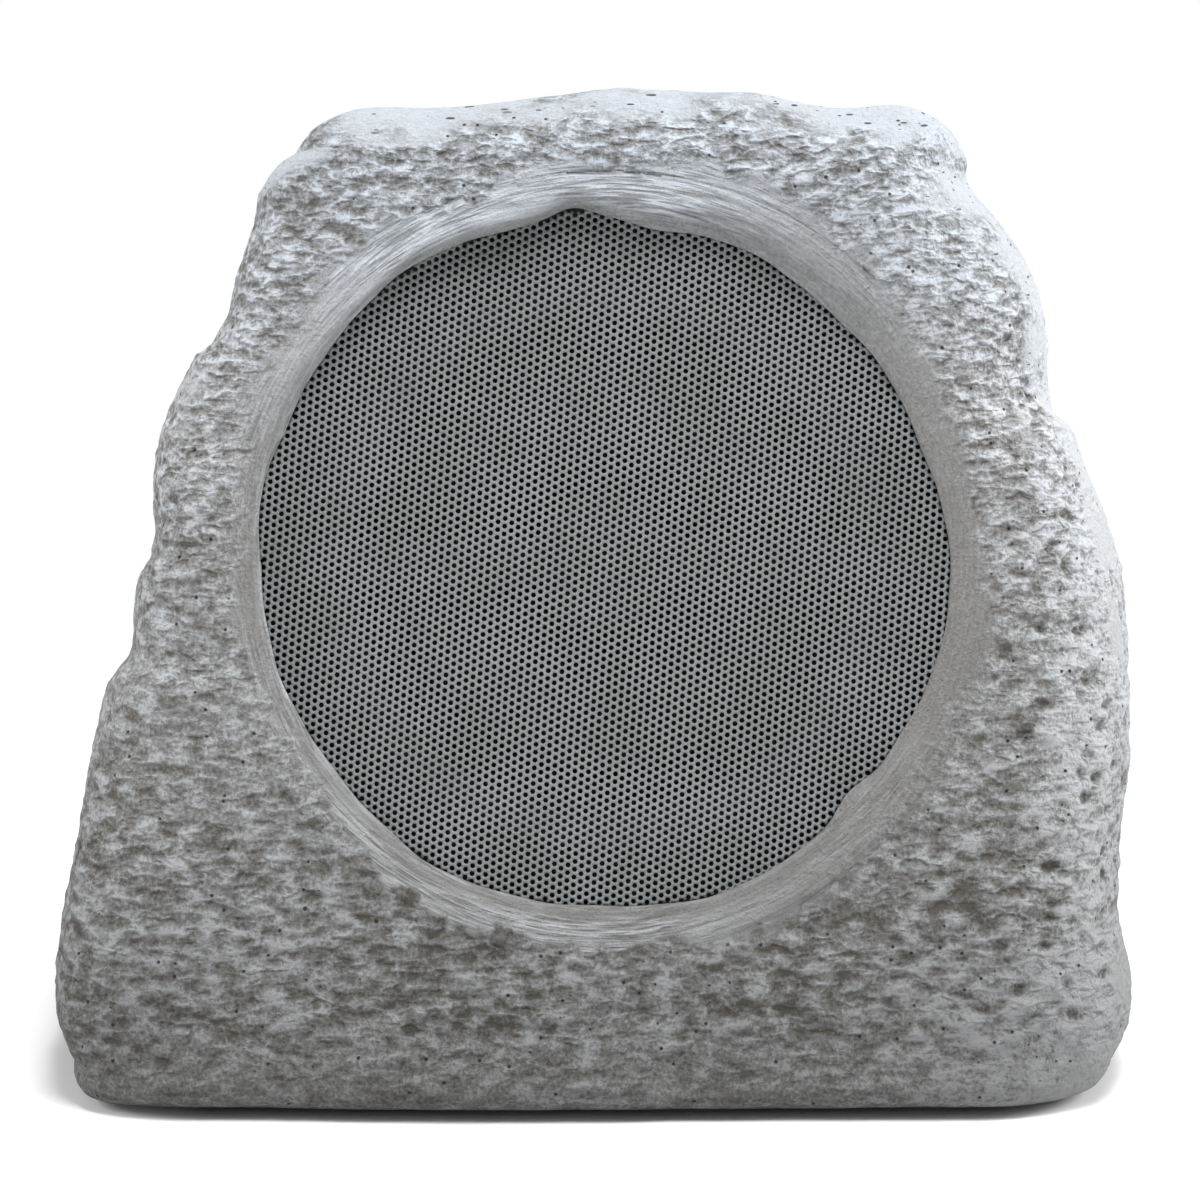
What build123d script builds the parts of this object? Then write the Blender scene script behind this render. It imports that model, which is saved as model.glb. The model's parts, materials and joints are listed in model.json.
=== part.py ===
from build123d import *

import math
import os

# Rock shaped garden speaker: a hollow cast rock, open below, with a round grille in its leaning front.
# Millimetres. +Z is up, the front faces -Y, and the origin is on the ground under the middle of the rock.

# Rock housing
rock_width = 320.0
rock_depth = 250.0
rock_height = 285.0
front_lean = 14.0
toe_height = 18.0
left_corner = 20.0
right_corner = 34.0
least_corner = 12.0
front_bow = 5.0
bow_height = 62.0
wall = 6.0
crown_wall = 11.0
rim_gap = 2.0
top_round = 18.0
rim_round = 8.0

# Levels of the rock between its rounded rim and its rounded top: height share, left and right reach as
# shares of half the width, and depth as a share of the whole depth
levels = [
    (0.000, 0.988, 0.962, 1.000),
    (0.107, 0.993, 0.982, 0.985),
    (0.211, 0.966, 0.972, 0.950),
    (0.314, 0.942, 0.996, 0.905),
    (0.406, 0.902, 1.000, 0.865),
    (0.498, 0.857, 0.990, 0.825),
    (0.594, 0.821, 0.953, 0.775),
    (0.690, 0.798, 0.890, 0.725),
    (0.785, 0.730, 0.848, 0.660),
    (0.889, 0.660, 0.792, 0.585),
    (1.000, 0.556, 0.690, 0.515),
]

# Rounding of the rim and of the top: drop below the edge and inset, as shares of the rounding
rim_curve = [(0.0, 1.0), (0.30, 0.30), (1.0, 0.0)]
top_curve = [(1.0, 0.0), (0.34, 0.50), (0.06, 0.98), (0.0, 1.90)]

# Outline of a level seen from above: reach and depth shares from the right flank round the back to the
# left flank, the reach share of the two front corners, and the run of the flat front into a corner
right_flank = [(1.0, 0.32), (0.975, 0.55), (0.90, 0.76), (0.66, 0.94)]
back_middle = (0.05, 1.0)
left_flank = [(0.62, 0.95), (0.89, 0.77), (0.975, 0.55), (1.0, 0.30)]
corner_reach = 0.985
corner_run = 1.5
bow_at_run = 0.6
bow_at_corner = 0.8

# Grille opening in the front
grille_centre_x = 2.0
grille_centre_height = 157.0
opening_radius = 99.0
seat_depth = 8.0
lip = 2.5
flare = 15.0
flare_rise = 1.5
flare_round = 30.0
cut_height = 30.0
collar_width = 17.0
collar_bite = 5.0

# Grille and the ring that clamps it from inside
grille_overlap = 4.0
grille_sheet = 1.0
perforation_pitch = 18.0
perforation_diameter = 9.8
perforation_margin = 6.0
foam_thickness = 2.0
edge_clearance = 0.5
baffle_width = 9.5
baffle_flange = 6.0
baffle_floor_thickness = 7.0
baffle_wall = 5.0
pan_depth = 19.0
baffle_screw_count = 6

# Driver
cutout_radius = 71.5
flange_radius = 83.0
basket_sheet = 1.4
basket_bend = 2.0
gasket_sheet = 1.5
throat_radius = 66.0
throat_depth = 6.0
landing_radius = 40.0
landing_width = 6.0
landing_depth = 25.0
basket_depth = 36.0
basket_hole_radius = 22.0
window_count = 6
window_length = 15.0
window_width = 26.0
window_corner = 4.0
driver_screw_radius = 78.0
driver_screw_count = 4

# Cone, suspension and voice coil
cone_edge_radius = 61.5
cone_lip = 4.0
cone_depth = 21.0
cone_wall = 0.8
neck_length = 3.0
dust_cap_radius = 19.0
dust_cap_rise = 6.0
surround_sheet = 0.8
surround_lip = 5.0
surround_shelf = 2.5
spider_sheet = 0.5
spider_wave = 2.0
spider_wave_count = 3
spider_bend = 1.0
spider_lip = 3.0
coil_radius = 12.75
former_wall = 0.3
winding_wall = 0.6
winding_length = 11.0
former_tail = 2.0
glue_gap = 0.05
coil_gap = 0.45

# Magnet
plate_radius = 42.0
plate_thickness = 6.0
magnet_radius = 45.0
magnet_hole_radius = 23.0
magnet_thickness = 16.0
pole_rise = 1.0
vent_radius = 4.0

# Terminals on the driver
strip_width = 24.0
strip_length = 18.0
strip_thickness = 1.6
lug_spacing = 12.0
lug_width = 4.8
lug_length = 8.0
lug_thickness = 0.8
tinsel_diameter = 1.2
tinsel_reach = 17.0
tinsel_rise = 6.0
tinsel_bend = 2.0

# Tweeter on its bridge
bridge_width = 14.0
bridge_thickness = 3.5
bridge_leg = 8.0
bridge_drop = 4.0
bridge_ring = 4.0
tweeter_radius = 16.0
tweeter_flange = 2.5
tweeter_flange_thickness = 1.5
tweeter_length = 17.0
slide_clearance = 0.2

# Base
rim_width = 14.0
base_recess = 4.0
base_thickness = 4.0
base_gasket_thickness = 1.5
base_clearance = 0.5
ledge_width = 14.0
ledge_thickness = 8.0
foot_radius = 14.0
foot_inset = 52.0
foot_sink_radius = 6.0
foot_sink_depth = 3.0
foot_taper = 6.0

# Screws
screw_radius = 1.9
screw_head_radius = 3.6
screw_head = 2.4
screw_bite = 6.0
screw_clearance = 0.1
hole_clearance = 0.3

# Cable gland low on the back
gland_height = 46.0
gland_wall = 8.0
gland_sink = 20.0
pocket_room = 6.0
gland_nut_wall = 3.0
gland_hole_radius = 8.0
gland_flat = 24.0
gland_flange = 6.0
gland_nut_length = 14.0
gland_stub = 10.0
gland_thread_wall = 2.5
gland_lock_thickness = 5.0
cable_radius = 3.5
seal_length = 12.0

# Crossover board
board_length = 80.0
board_width = 50.0
board_thickness = 1.6
board_centre_x = 12.0
board_centre_y = 25.0
post_height = 8.0
post_radius = 4.0
post_inset = 5.0
inductor_radius = 14.0
inductor_core_radius = 6.0
inductor_height = 14.0
inductor_cheek = 1.5
capacitor_radius = 7.0
capacitor_length = 26.0
woofer_lead_diameter = 3.2
tweeter_lead_diameter = 2.4
lead_rise = 28.0
lead_approach = 14.0
lead_bend = 10.0

# Directions and planes
lean_sine = math.sin(math.radians(front_lean))
lean_cosine = math.cos(math.radians(front_lean))
lean_slope = math.tan(math.radians(front_lean))
foot_height = rim_gap + rim_round
highest_drop, highest_inset = top_curve[-2]
top_edge = rock_height + top_round * (highest_drop + highest_inset * lean_sine)
shoulder_height = top_edge - top_round


def front_at(height):
    """Gives y of the leaning front at a height."""
    return -rock_depth / 2 + (height - toe_height) * lean_slope


def level_height(share):
    """Gives the height of a level where its plane meets the leaning front."""
    return foot_height + share * (shoulder_height - foot_height)


def level_plane(height, inset):
    """Gives the plane of a level: flat up to the toe, and sloping down to the back further up."""
    rise = max(0.0, (height - toe_height) / (rock_height - toe_height))
    slope = math.radians(front_lean * rise)
    normal = (0, math.sin(slope), math.cos(slope))
    origin = (0, front_at(height) + inset * math.cos(slope), height - inset * math.sin(slope))
    return Plane(origin=origin, x_dir=(1, 0, 0), z_dir=normal)


def bow_at(height):
    """Gives how far the front's corners lie behind its middle: only the foot is bowed."""
    return front_bow * max(0.0, 1 - height / bow_height)


def outline(left, right, depth, inset, bow):
    """Gives the points of one level's outline, drawn in by an inset, from the middle of the front."""
    left = left * rock_width / 2 - inset
    right = right * rock_width / 2 - inset
    depth = depth * rock_depth - 2 * inset
    turn_left = max(left_corner - inset, least_corner)
    turn_right = max(right_corner - inset, least_corner)
    sag_left = turn_left * (1 - math.sqrt(0.5))
    sag_right = turn_right * (1 - math.sqrt(0.5))
    edge_left = corner_reach * left
    edge_right = corner_reach * right
    return [
        (0, 0),
        (edge_right - corner_run * turn_right, bow_at_run * bow),
        (edge_right - turn_right, bow_at_corner * bow),
        (edge_right - sag_right, bow + sag_right),
        (edge_right, bow + turn_right),
        *[(reach * right, run * depth) for reach, run in right_flank],
        (back_middle[0] * right, back_middle[1] * depth),
        *[(-reach * left, run * depth) for reach, run in left_flank],
        (-edge_left, bow + turn_left),
        (-edge_left + sag_left, bow + sag_left),
        (-edge_left + turn_left, bow_at_corner * bow),
        (-edge_left + corner_run * turn_left, bow_at_run * bow),
        (0, 0),
    ]


def smooth_face(plane, points):
    """Draws a closed smooth outline that starts and ends in the middle of the flat front."""
    with BuildSketch(plane) as face:
        with BuildLine():
            Spline(*points, tangents=[(1, 0), (1, 0)])
        make_face()
    return face.sketch


def level_face(height, left, right, depth, inset):
    """Draws one level of the rock."""
    return smooth_face(level_plane(height, inset), outline(left, right, depth, inset, bow_at(height)))


def top_face(drop, inset):
    """Draws the top's outline, drawn in by an inset, at a drop below the top edge."""
    return level_face(top_edge - drop, *top_form, inset)


def rim_plane(height, inset):
    """Gives the flat plane of the rim's outline, drawn in by an inset, at a height."""
    return Plane(origin=(0, front_at(foot_height) + inset, height))


def rim_outline(inset):
    """Gives the points of the rim's outline, drawn in by an inset."""
    return outline(*rim_form, inset, bow_at(foot_height))


def rim_face(height, inset):
    """Draws the rim's outline, drawn in by an inset, at a height."""
    return smooth_face(rim_plane(height, inset), rim_outline(inset))


def back_at(height):
    """Gives y of the middle of the back at a height, between the two levels that enclose it."""
    below = None
    for share, *_, depth in levels:
        above = level_plane(level_height(share), 0).from_local_coords(Vector(0, depth * rock_depth, 0))
        if above.Z >= height:
            break
        below = above
    if below is None:
        return above.Y
    return below.Y + (above.Y - below.Y) * (height - below.Z) / (above.Z - below.Z)


def turned(*points):
    """Draws a closed outline of points, each a radius and a distance along the speaker axis."""
    with BuildSketch(profile) as face:
        with BuildLine():
            Polyline(*points, close=True)
        make_face()
    return face.sketch


def bent_sheet(points, bend, thickness):
    """Draws a bent sheet beside a line of points, on the left of the way that the line runs."""
    with BuildSketch(profile) as face:
        with BuildLine():
            FilletPolyline(*points, radius=bend)
            offset(amount=thickness, side=Side.LEFT)
        make_face()
    return face.sketch


def discs(plane, spots, radius):
    """Draws a disc at each spot of a plane."""
    with BuildSketch(plane) as face:
        with Locations(*spots):
            Circle(radius)
    return face.sketch


def hexagon(plane, flats, hole_radius):
    """Draws a hexagon with a round hole, given its width across the flats."""
    with BuildSketch(plane) as face:
        RegularPolygon(flats / 2, 6, major_radius=False)
        Circle(hole_radius, mode=Mode.SUBTRACT)
    return face.sketch


def ring_spots(radius, count, first=0.0):
    """Gives evenly spaced spots on a circle."""
    turns = [math.radians(first + 360 * place / count) for place in range(count)]
    return [(radius * math.cos(turn), radius * math.sin(turn)) for turn in turns]


def add_screws(plane, spots, length, side=1):
    """Adds pan head screws: heads on one side of a plane, shanks on the other."""
    extrude(discs(plane, spots, screw_head_radius), amount=side * screw_head)
    extrude(discs(plane, spots, screw_radius), amount=-side * length)


def add_wire(route, bend, diameter):
    """Adds a wire along a route of straight runs joined by arcs."""
    with BuildLine() as path:
        FilletPolyline(*route, radius=bend)
    with BuildSketch(Plane(origin=path.line @ 0, z_dir=path.line % 0)) as section:
        Circle(diameter / 2)
    sweep(section.sketch, path=path.line)


def save(piece, name):
    """Names a finished piece and writes it."""
    piece.part.label = name
    export_step(piece.part, f"parts/{name}.step")


# Heights of the base, from the ground
plate_bottom = rim_gap + base_recess
plate_top = plate_bottom + base_thickness
ledge_bottom = plate_top + base_gasket_thickness
ledge_top = ledge_bottom + ledge_thickness
rim_form = levels[0][1:]
top_form = levels[-1][1:]

# Speaker axis, square to the front through the middle of the grille, and distances along it from the seat
axis_out = Vector(0, -lean_cosine, lean_sine)
face_point = Vector(grille_centre_x, front_at(grille_centre_height), grille_centre_height)
seat_point = face_point - axis_out * seat_depth
seat = Plane(origin=seat_point, x_dir=(1, 0, 0), z_dir=axis_out)
profile = Plane(origin=seat_point, x_dir=(1, 0, 0), z_dir=(0, -lean_sine, -lean_cosine))
speaker_axis = Axis(seat_point, axis_out)
foam_front = -grille_sheet
foam_back = foam_front - foam_thickness
pan_floor = foam_back - pan_depth
pan_back = pan_floor - baffle_floor_thickness
flange_back = pan_floor + gasket_sheet
flange_front = flange_back + basket_sheet
landing = flange_front - landing_depth
basket_floor = flange_front - basket_depth
top_plate_front = basket_floor - basket_sheet
top_plate_back = top_plate_front - plate_thickness
magnet_back = top_plate_back - magnet_thickness
yoke_back = magnet_back - plate_thickness
neck = flange_front - cone_depth
bridge_front = foam_front - bridge_drop
bridge_back = bridge_front - bridge_thickness

# Radii about the speaker axis
grille_radius = opening_radius + grille_overlap
recess_radius = grille_radius + edge_clearance
baffle_radius = recess_radius + baffle_width
baffle_screw_circle = recess_radius + baffle_width / 2
collar_radius = opening_radius + collar_width
flare_radius = opening_radius + flare
flare_end = seat_depth + flare_rise
former_radius = coil_radius + former_wall
winding_radius = former_radius + glue_gap + winding_wall
pole_radius = coil_radius - coil_gap
gap_radius = winding_radius + coil_gap
bridge_reach = opening_radius - edge_clearance * 2
leg_middle = bridge_reach - bridge_leg / 2
lead_hole = (flange_radius + bridge_reach - bridge_leg) / 2

# Screw spots
pilot_radius = screw_radius + screw_clearance
hole_radius = screw_radius + hole_clearance
baffle_screws_at = ring_spots(baffle_screw_circle, baffle_screw_count, 30)
driver_screws_at = ring_spots(driver_screw_radius, driver_screw_count, 45)
bridge_screws_at = [(leg_middle, 0), (-leg_middle, 0)]
ledge_inset = rim_width + ledge_width / 2
ledge_points = rim_outline(ledge_inset)
base_screws_at = [ledge_points[place] for place in (0, 3, 6, 8, 9, 10, 12, 15)]
foot_points = rim_outline(foot_inset)
foot_places = {
    "foot_front_left": foot_points[15],
    "foot_front_right": foot_points[3],
    "foot_rear_left": foot_points[10],
    "foot_rear_right": foot_points[8],
}
foot_screws_at = list(foot_places.values())
post_x = board_length / 2 - post_inset
post_y = board_width / 2 - post_inset
board_screws_at = [
    (board_centre_x + side_x * post_x, board_centre_y + side_y * post_y)
    for side_x in (-1, 1)
    for side_y in (-1, 1)
]
board_bottom = plate_top + post_height
board_top = board_bottom + board_thickness

# Cable gland pocket
gland_corner = gland_flat / math.sqrt(3)
pocket_radius = gland_corner + pocket_room
gland_face = back_at(gland_height) - gland_sink
gland = Plane(origin=(0, gland_face, gland_height), x_dir=(1, 0, 0), z_dir=(0, 1, 0))
gland_thread_radius = gland_hole_radius - screw_clearance
gland_bore_radius = gland_thread_radius - gland_thread_wall
gland_nut_end = gland_flange + gland_nut_length

os.makedirs("parts", exist_ok=True)

# Outer form of the rock
with BuildPart() as rock_form:
    loft([level_face(level_height(share), *form, 0) for share, *form in levels])
    loft([rim_face(rim_gap + drop * rim_round, inset * rim_round) for drop, inset in rim_curve])
    loft([top_face(drop * top_round, inset * top_round) for drop, inset in top_curve])

# Hollow of the rock, kept clear of the collar round the opening and of the boss round the gland
with BuildPart() as hollow:
    loft([level_face(level_height(share), *form, wall) for share, *form in levels])
    split(bisect_by=Plane.XY.offset(ledge_top), keep=Keep.TOP)
    loft(
        [
            top_face(top_round, wall),
            top_face(crown_wall, wall + top_round / 2),
        ]
    )
    extrude(discs(seat, [(0, 0)], collar_radius), amount=rock_depth, mode=Mode.SUBTRACT)
    extrude(
        discs(gland.offset(-gland_wall), [(0, 0)], pocket_radius + wall),
        amount=rock_depth,
        mode=Mode.SUBTRACT,
    )

with BuildPart() as rock_shell:
    add(rock_form.part)
    add(hollow.part, mode=Mode.SUBTRACT)
    extrude(rim_face(0, rim_width), amount=ledge_bottom, mode=Mode.SUBTRACT)
    extrude(rim_face(0, rim_width + ledge_width), amount=ledge_top + wall, mode=Mode.SUBTRACT)
    with BuildSketch(profile):
        with BuildLine():
            Polyline((0, cut_height), (0, 0), (opening_radius, 0), (opening_radius, lip))
            RadiusArc((opening_radius, lip), (flare_radius, flare_end), flare_round)
            Polyline((flare_radius, flare_end), (flare_radius, cut_height), (0, cut_height))
        make_face()
    revolve(axis=speaker_axis, mode=Mode.SUBTRACT)
    extrude(discs(seat, baffle_screws_at, pilot_radius), amount=collar_bite, mode=Mode.SUBTRACT)
    extrude(
        discs(rim_plane(ledge_bottom, ledge_inset), base_screws_at, pilot_radius),
        amount=screw_bite + screw_clearance,
        mode=Mode.SUBTRACT,
    )
    extrude(discs(gland, [(0, 0)], pocket_radius), amount=rock_depth, mode=Mode.SUBTRACT)
    extrude(discs(gland, [(0, 0)], gland_hole_radius), amount=-2 * gland_wall, mode=Mode.SUBTRACT)
save(rock_shell, "rock_shell")

# Grille: the fine perforation is drawn at a coarser pitch with the same open share
perforation_limit = opening_radius - perforation_margin
perforation_rows = int(perforation_limit / (perforation_pitch * math.sqrt(3) / 2))
perforations = []
for row in range(-perforation_rows, perforation_rows + 1):
    for column in range(-2 * perforation_rows, 2 * perforation_rows + 1):
        spot_x = (column + 0.5 * (row % 2)) * perforation_pitch
        spot_y = row * perforation_pitch * math.sqrt(3) / 2
        if math.hypot(spot_x, spot_y) < perforation_limit:
            perforations.append((spot_x, spot_y))

with BuildPart() as grille:
    extrude(discs(seat, [(0, 0)], grille_radius), amount=-grille_sheet)
    extrude(
        discs(seat, perforations, perforation_diameter / 2),
        amount=-grille_sheet,
        mode=Mode.SUBTRACT,
    )
save(grille, "grille")

with BuildPart() as grille_gasket:
    revolve(
        turned(
            (opening_radius + edge_clearance, foam_front),
            (grille_radius, foam_front),
            (grille_radius, foam_back),
            (opening_radius + edge_clearance, foam_back),
        ),
        axis=speaker_axis,
    )
save(grille_gasket, "grille_gasket")

# Baffle ring: a pan that clamps the grille and carries the driver
with BuildPart() as baffle_ring:
    revolve(
        turned(
            (cutout_radius, pan_floor),
            (opening_radius, pan_floor),
            (opening_radius, foam_back),
            (recess_radius, foam_back),
            (recess_radius, 0),
            (baffle_radius, 0),
            (baffle_radius, -baffle_flange),
            (opening_radius + baffle_wall, -baffle_flange),
            (opening_radius + baffle_wall, pan_back),
            (cutout_radius, pan_back),
        ),
        axis=speaker_axis,
    )
    extrude(discs(seat, baffle_screws_at, hole_radius), amount=-baffle_flange, mode=Mode.SUBTRACT)
    pan = seat.offset(pan_floor)
    extrude(discs(pan, driver_screws_at, pilot_radius), amount=-screw_bite, mode=Mode.SUBTRACT)
    extrude(discs(pan, bridge_screws_at, hole_radius), amount=-2 * screw_bite, mode=Mode.SUBTRACT)
    extrude(
        discs(pan, [(lead_hole, 0)], tweeter_lead_diameter / 2 + hole_clearance),
        amount=-2 * baffle_floor_thickness,
        mode=Mode.SUBTRACT,
    )
save(baffle_ring, "baffle_ring")

with BuildPart() as baffle_screws:
    shank = baffle_flange + collar_bite - hole_clearance
    add_screws(seat.offset(-baffle_flange), baffle_screws_at, shank, side=-1)
save(baffle_screws, "baffle_screws")

# Driver frame
with BuildPart() as driver_gasket:
    revolve(
        turned(
            (cutout_radius, pan_floor),
            (flange_radius, pan_floor),
            (flange_radius, flange_back),
            (cutout_radius, flange_back),
        ),
        axis=speaker_axis,
    )
    extrude(
        discs(seat.offset(pan_floor), driver_screws_at, hole_radius),
        amount=gasket_sheet,
        mode=Mode.SUBTRACT,
    )
save(driver_gasket, "driver_gasket")

with BuildPart() as basket:
    frame_line = [
        (flange_radius, flange_front),
        (throat_radius, flange_front),
        (throat_radius, flange_front - throat_depth),
        (landing_radius, landing),
        (landing_radius - landing_width, landing),
        (landing_radius - landing_width, basket_floor),
        (basket_hole_radius, basket_floor),
    ]
    revolve(bent_sheet(frame_line, basket_bend, basket_sheet), axis=speaker_axis)
    with BuildSketch(seat.offset(flange_front - throat_depth)):
        with PolarLocations((throat_radius + landing_radius) / 2, window_count, start_angle=30):
            RectangleRounded(window_length, window_width, window_corner)
    extrude(amount=throat_depth - landing_depth, mode=Mode.SUBTRACT)
    extrude(
        discs(seat.offset(flange_front), driver_screws_at, hole_radius),
        amount=-basket_sheet,
        mode=Mode.SUBTRACT,
    )
save(basket, "basket")

with BuildPart() as driver_screws:
    shank = basket_sheet + gasket_sheet + screw_bite - hole_clearance
    add_screws(seat.offset(flange_front), driver_screws_at, shank)
save(driver_screws, "driver_screws")

# Moving parts: cone, dust cap, coil former and winding
with BuildPart() as cone:
    cone_line = [
        (cone_edge_radius, flange_front),
        (cone_edge_radius - cone_lip, flange_front),
        (former_radius + glue_gap, neck),
        (former_radius + glue_gap, neck - neck_length),
    ]
    revolve(bent_sheet(cone_line, cone_wall, cone_wall), axis=speaker_axis)
save(cone, "cone")

cone_slope = cone_depth / (cone_edge_radius - cone_lip - former_radius)


def cone_at(radius):
    """Gives the place of the cone's front along the speaker axis at a radius."""
    return flange_front - (cone_edge_radius - cone_lip - radius) * cone_slope


with BuildPart() as dust_cap:
    cap_rim = cone_at(dust_cap_radius) + cone_wall
    cap_round = (dust_cap_radius**2 + dust_cap_rise**2) / (2 * dust_cap_rise)
    with BuildSketch(profile):
        with BuildLine():
            RadiusArc((dust_cap_radius, cap_rim), (0, cap_rim + dust_cap_rise), -cap_round)
            offset(amount=cone_wall, side=Side.LEFT)
        make_face()
    revolve(axis=speaker_axis)
save(dust_cap, "dust_cap")

with BuildPart() as coil_former:
    winding_middle = (top_plate_front + top_plate_back) / 2
    winding_front = winding_middle + winding_length / 2
    winding_back = winding_middle - winding_length / 2
    revolve(
        turned(
            (coil_radius, neck),
            (former_radius, neck),
            (former_radius, winding_back - former_tail),
            (coil_radius, winding_back - former_tail),
        ),
        axis=speaker_axis,
    )
save(coil_former, "coil_former")

with BuildPart() as coil_winding:
    revolve(
        turned(
            (former_radius + glue_gap, winding_front),
            (winding_radius, winding_front),
            (winding_radius, winding_back),
            (former_radius + glue_gap, winding_back),
        ),
        axis=speaker_axis,
    )
save(coil_winding, "coil_winding")

# Suspension: a half roll round the cone's edge and a corrugated spider round the coil
with BuildPart() as surround:
    roll_radius = (throat_radius + surround_shelf - cone_edge_radius) / 2
    roll_end = cone_edge_radius + 2 * roll_radius
    with BuildSketch(profile):
        with BuildLine():
            Line((cone_edge_radius - cone_lip, flange_front), (cone_edge_radius, flange_front))
            RadiusArc((cone_edge_radius, flange_front), (roll_end, flange_front), roll_radius)
            Line((roll_end, flange_front), (roll_end + surround_lip, flange_front))
            offset(amount=surround_sheet, side=Side.LEFT)
        make_face()
    revolve(axis=speaker_axis)
save(surround, "surround")

with BuildPart() as spider:
    spider_inner = former_radius + glue_gap
    wave_start = spider_inner + spider_lip
    wave_end = landing_radius - landing_width - spider_lip
    wave_pitch = (wave_end - wave_start) / (2 * spider_wave_count)
    spider_line = [(spider_inner, landing), (wave_start, landing)]
    for wave in range(2 * spider_wave_count - 1):
        swing = spider_wave if wave % 2 == 0 else -spider_wave
        spider_line.append((wave_start + (wave + 1) * wave_pitch, landing + swing))
    spider_line += [(wave_end, landing), (landing_radius - basket_bend, landing)]
    revolve(bent_sheet(spider_line, spider_bend, spider_sheet), axis=speaker_axis)
save(spider, "spider")

# Magnet
with BuildPart() as top_plate:
    revolve(
        turned(
            (gap_radius, top_plate_front),
            (plate_radius, top_plate_front),
            (plate_radius, top_plate_back),
            (gap_radius, top_plate_back),
        ),
        axis=speaker_axis,
    )
save(top_plate, "top_plate")

with BuildPart() as magnet:
    revolve(
        turned(
            (magnet_hole_radius, top_plate_back),
            (magnet_radius, top_plate_back),
            (magnet_radius, magnet_back),
            (magnet_hole_radius, magnet_back),
        ),
        axis=speaker_axis,
    )
save(magnet, "magnet")

with BuildPart() as back_plate:
    revolve(
        turned(
            (vent_radius, top_plate_front + pole_rise),
            (pole_radius, top_plate_front + pole_rise),
            (pole_radius, magnet_back),
            (plate_radius, magnet_back),
            (plate_radius, yoke_back),
            (vent_radius, yoke_back),
        ),
        axis=speaker_axis,
    )
save(back_plate, "back_plate")

# Terminals under the spider landing, and the flexible leads to the cone
strip_front = landing - basket_sheet
strip_top = landing_radius - landing_width + basket_sheet + edge_clearance
strip_middle = strip_top + strip_length / 2
lug_middle = strip_top + strip_length - lug_length / 2
lug_back = strip_front - strip_thickness - lug_thickness
with BuildPart() as terminal_strip:
    with BuildSketch(seat.offset(strip_front)):
        with Locations((0, -strip_middle)):
            Rectangle(strip_width, strip_length)
    extrude(amount=-strip_thickness)
save(terminal_strip, "terminal_strip")

with BuildPart() as terminal_lugs:
    with BuildSketch(seat.offset(strip_front - strip_thickness)):
        with Locations((-lug_spacing / 2, -lug_middle), (lug_spacing / 2, -lug_middle)):
            Rectangle(lug_width, lug_length)
    extrude(amount=-lug_thickness)
save(terminal_lugs, "terminal_lugs")

with BuildPart() as tinsel_leads:
    lead_top = cone_edge_radius - cone_lip - tinsel_reach
    lead_end = cone_at(lead_top) - 2 * cone_wall
    for side in (-1, 1):
        lead_x = side * lug_spacing / 2
        lead_route = [
            seat.from_local_coords(Vector(lead_x, -lug_middle, strip_front)),
            seat.from_local_coords(Vector(lead_x, -lug_middle, strip_front + tinsel_rise)),
            seat.from_local_coords(Vector(lead_x, -lead_top, lead_end)),
        ]
        add_wire(lead_route, tinsel_bend, tinsel_diameter)
save(tinsel_leads, "tinsel_leads")

# Tweeter on a bridge across the driver
with BuildPart() as tweeter_bridge:
    bridge = seat.offset(bridge_front)
    with BuildSketch(bridge):
        Rectangle(2 * bridge_reach, bridge_width)
        Circle(tweeter_radius + slide_clearance + bridge_ring)
        Circle(tweeter_radius + slide_clearance, mode=Mode.SUBTRACT)
    extrude(amount=-bridge_thickness)
    with BuildSketch(seat.offset(pan_floor)):
        with Locations((leg_middle, 0), (-leg_middle, 0)):
            Rectangle(bridge_leg, bridge_width)
    extrude(amount=bridge_back - pan_floor)
    extrude(
        discs(seat.offset(pan_floor), bridge_screws_at, pilot_radius),
        amount=screw_bite,
        mode=Mode.SUBTRACT,
    )
save(tweeter_bridge, "tweeter_bridge")

with BuildPart() as tweeter_capsule:
    revolve(
        turned(
            (0, bridge_front + tweeter_flange_thickness),
            (tweeter_radius + tweeter_flange, bridge_front + tweeter_flange_thickness),
            (tweeter_radius + tweeter_flange, bridge_front),
            (tweeter_radius, bridge_front),
            (tweeter_radius, bridge_front - tweeter_length),
            (0, bridge_front - tweeter_length),
        ),
        axis=speaker_axis,
    )
save(tweeter_capsule, "tweeter_capsule")

with BuildPart() as bridge_screws:
    shank = baffle_floor_thickness + screw_bite - hole_clearance
    add_screws(seat.offset(pan_back), bridge_screws_at, shank, side=-1)
save(bridge_screws, "bridge_screws")

# Base: plate, gasket and screws in the rim's rebate
with BuildPart() as base_plate:
    extrude(rim_face(plate_bottom, rim_width + base_clearance), amount=base_thickness)
    extrude(discs(rim_plane(plate_top, foot_inset), foot_screws_at, post_radius), amount=post_height)
    extrude(discs(Plane.XY.offset(plate_top), board_screws_at, post_radius), amount=post_height)
    extrude(
        discs(rim_plane(plate_bottom, ledge_inset), base_screws_at, hole_radius),
        amount=base_thickness,
        mode=Mode.SUBTRACT,
    )
    extrude(
        discs(rim_plane(plate_bottom, foot_inset), foot_screws_at, pilot_radius),
        amount=base_thickness + screw_bite,
        mode=Mode.SUBTRACT,
    )
    extrude(
        discs(Plane.XY.offset(board_bottom), board_screws_at, pilot_radius),
        amount=-screw_bite,
        mode=Mode.SUBTRACT,
    )
save(base_plate, "base_plate")

with BuildPart() as base_gasket:
    extrude(rim_face(plate_top, rim_width + base_clearance), amount=base_gasket_thickness)
    extrude(
        rim_face(plate_top, rim_width + ledge_width),
        amount=base_gasket_thickness,
        mode=Mode.SUBTRACT,
    )
    extrude(
        discs(rim_plane(plate_top, ledge_inset), base_screws_at, hole_radius),
        amount=base_gasket_thickness,
        mode=Mode.SUBTRACT,
    )
save(base_gasket, "base_gasket")

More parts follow.
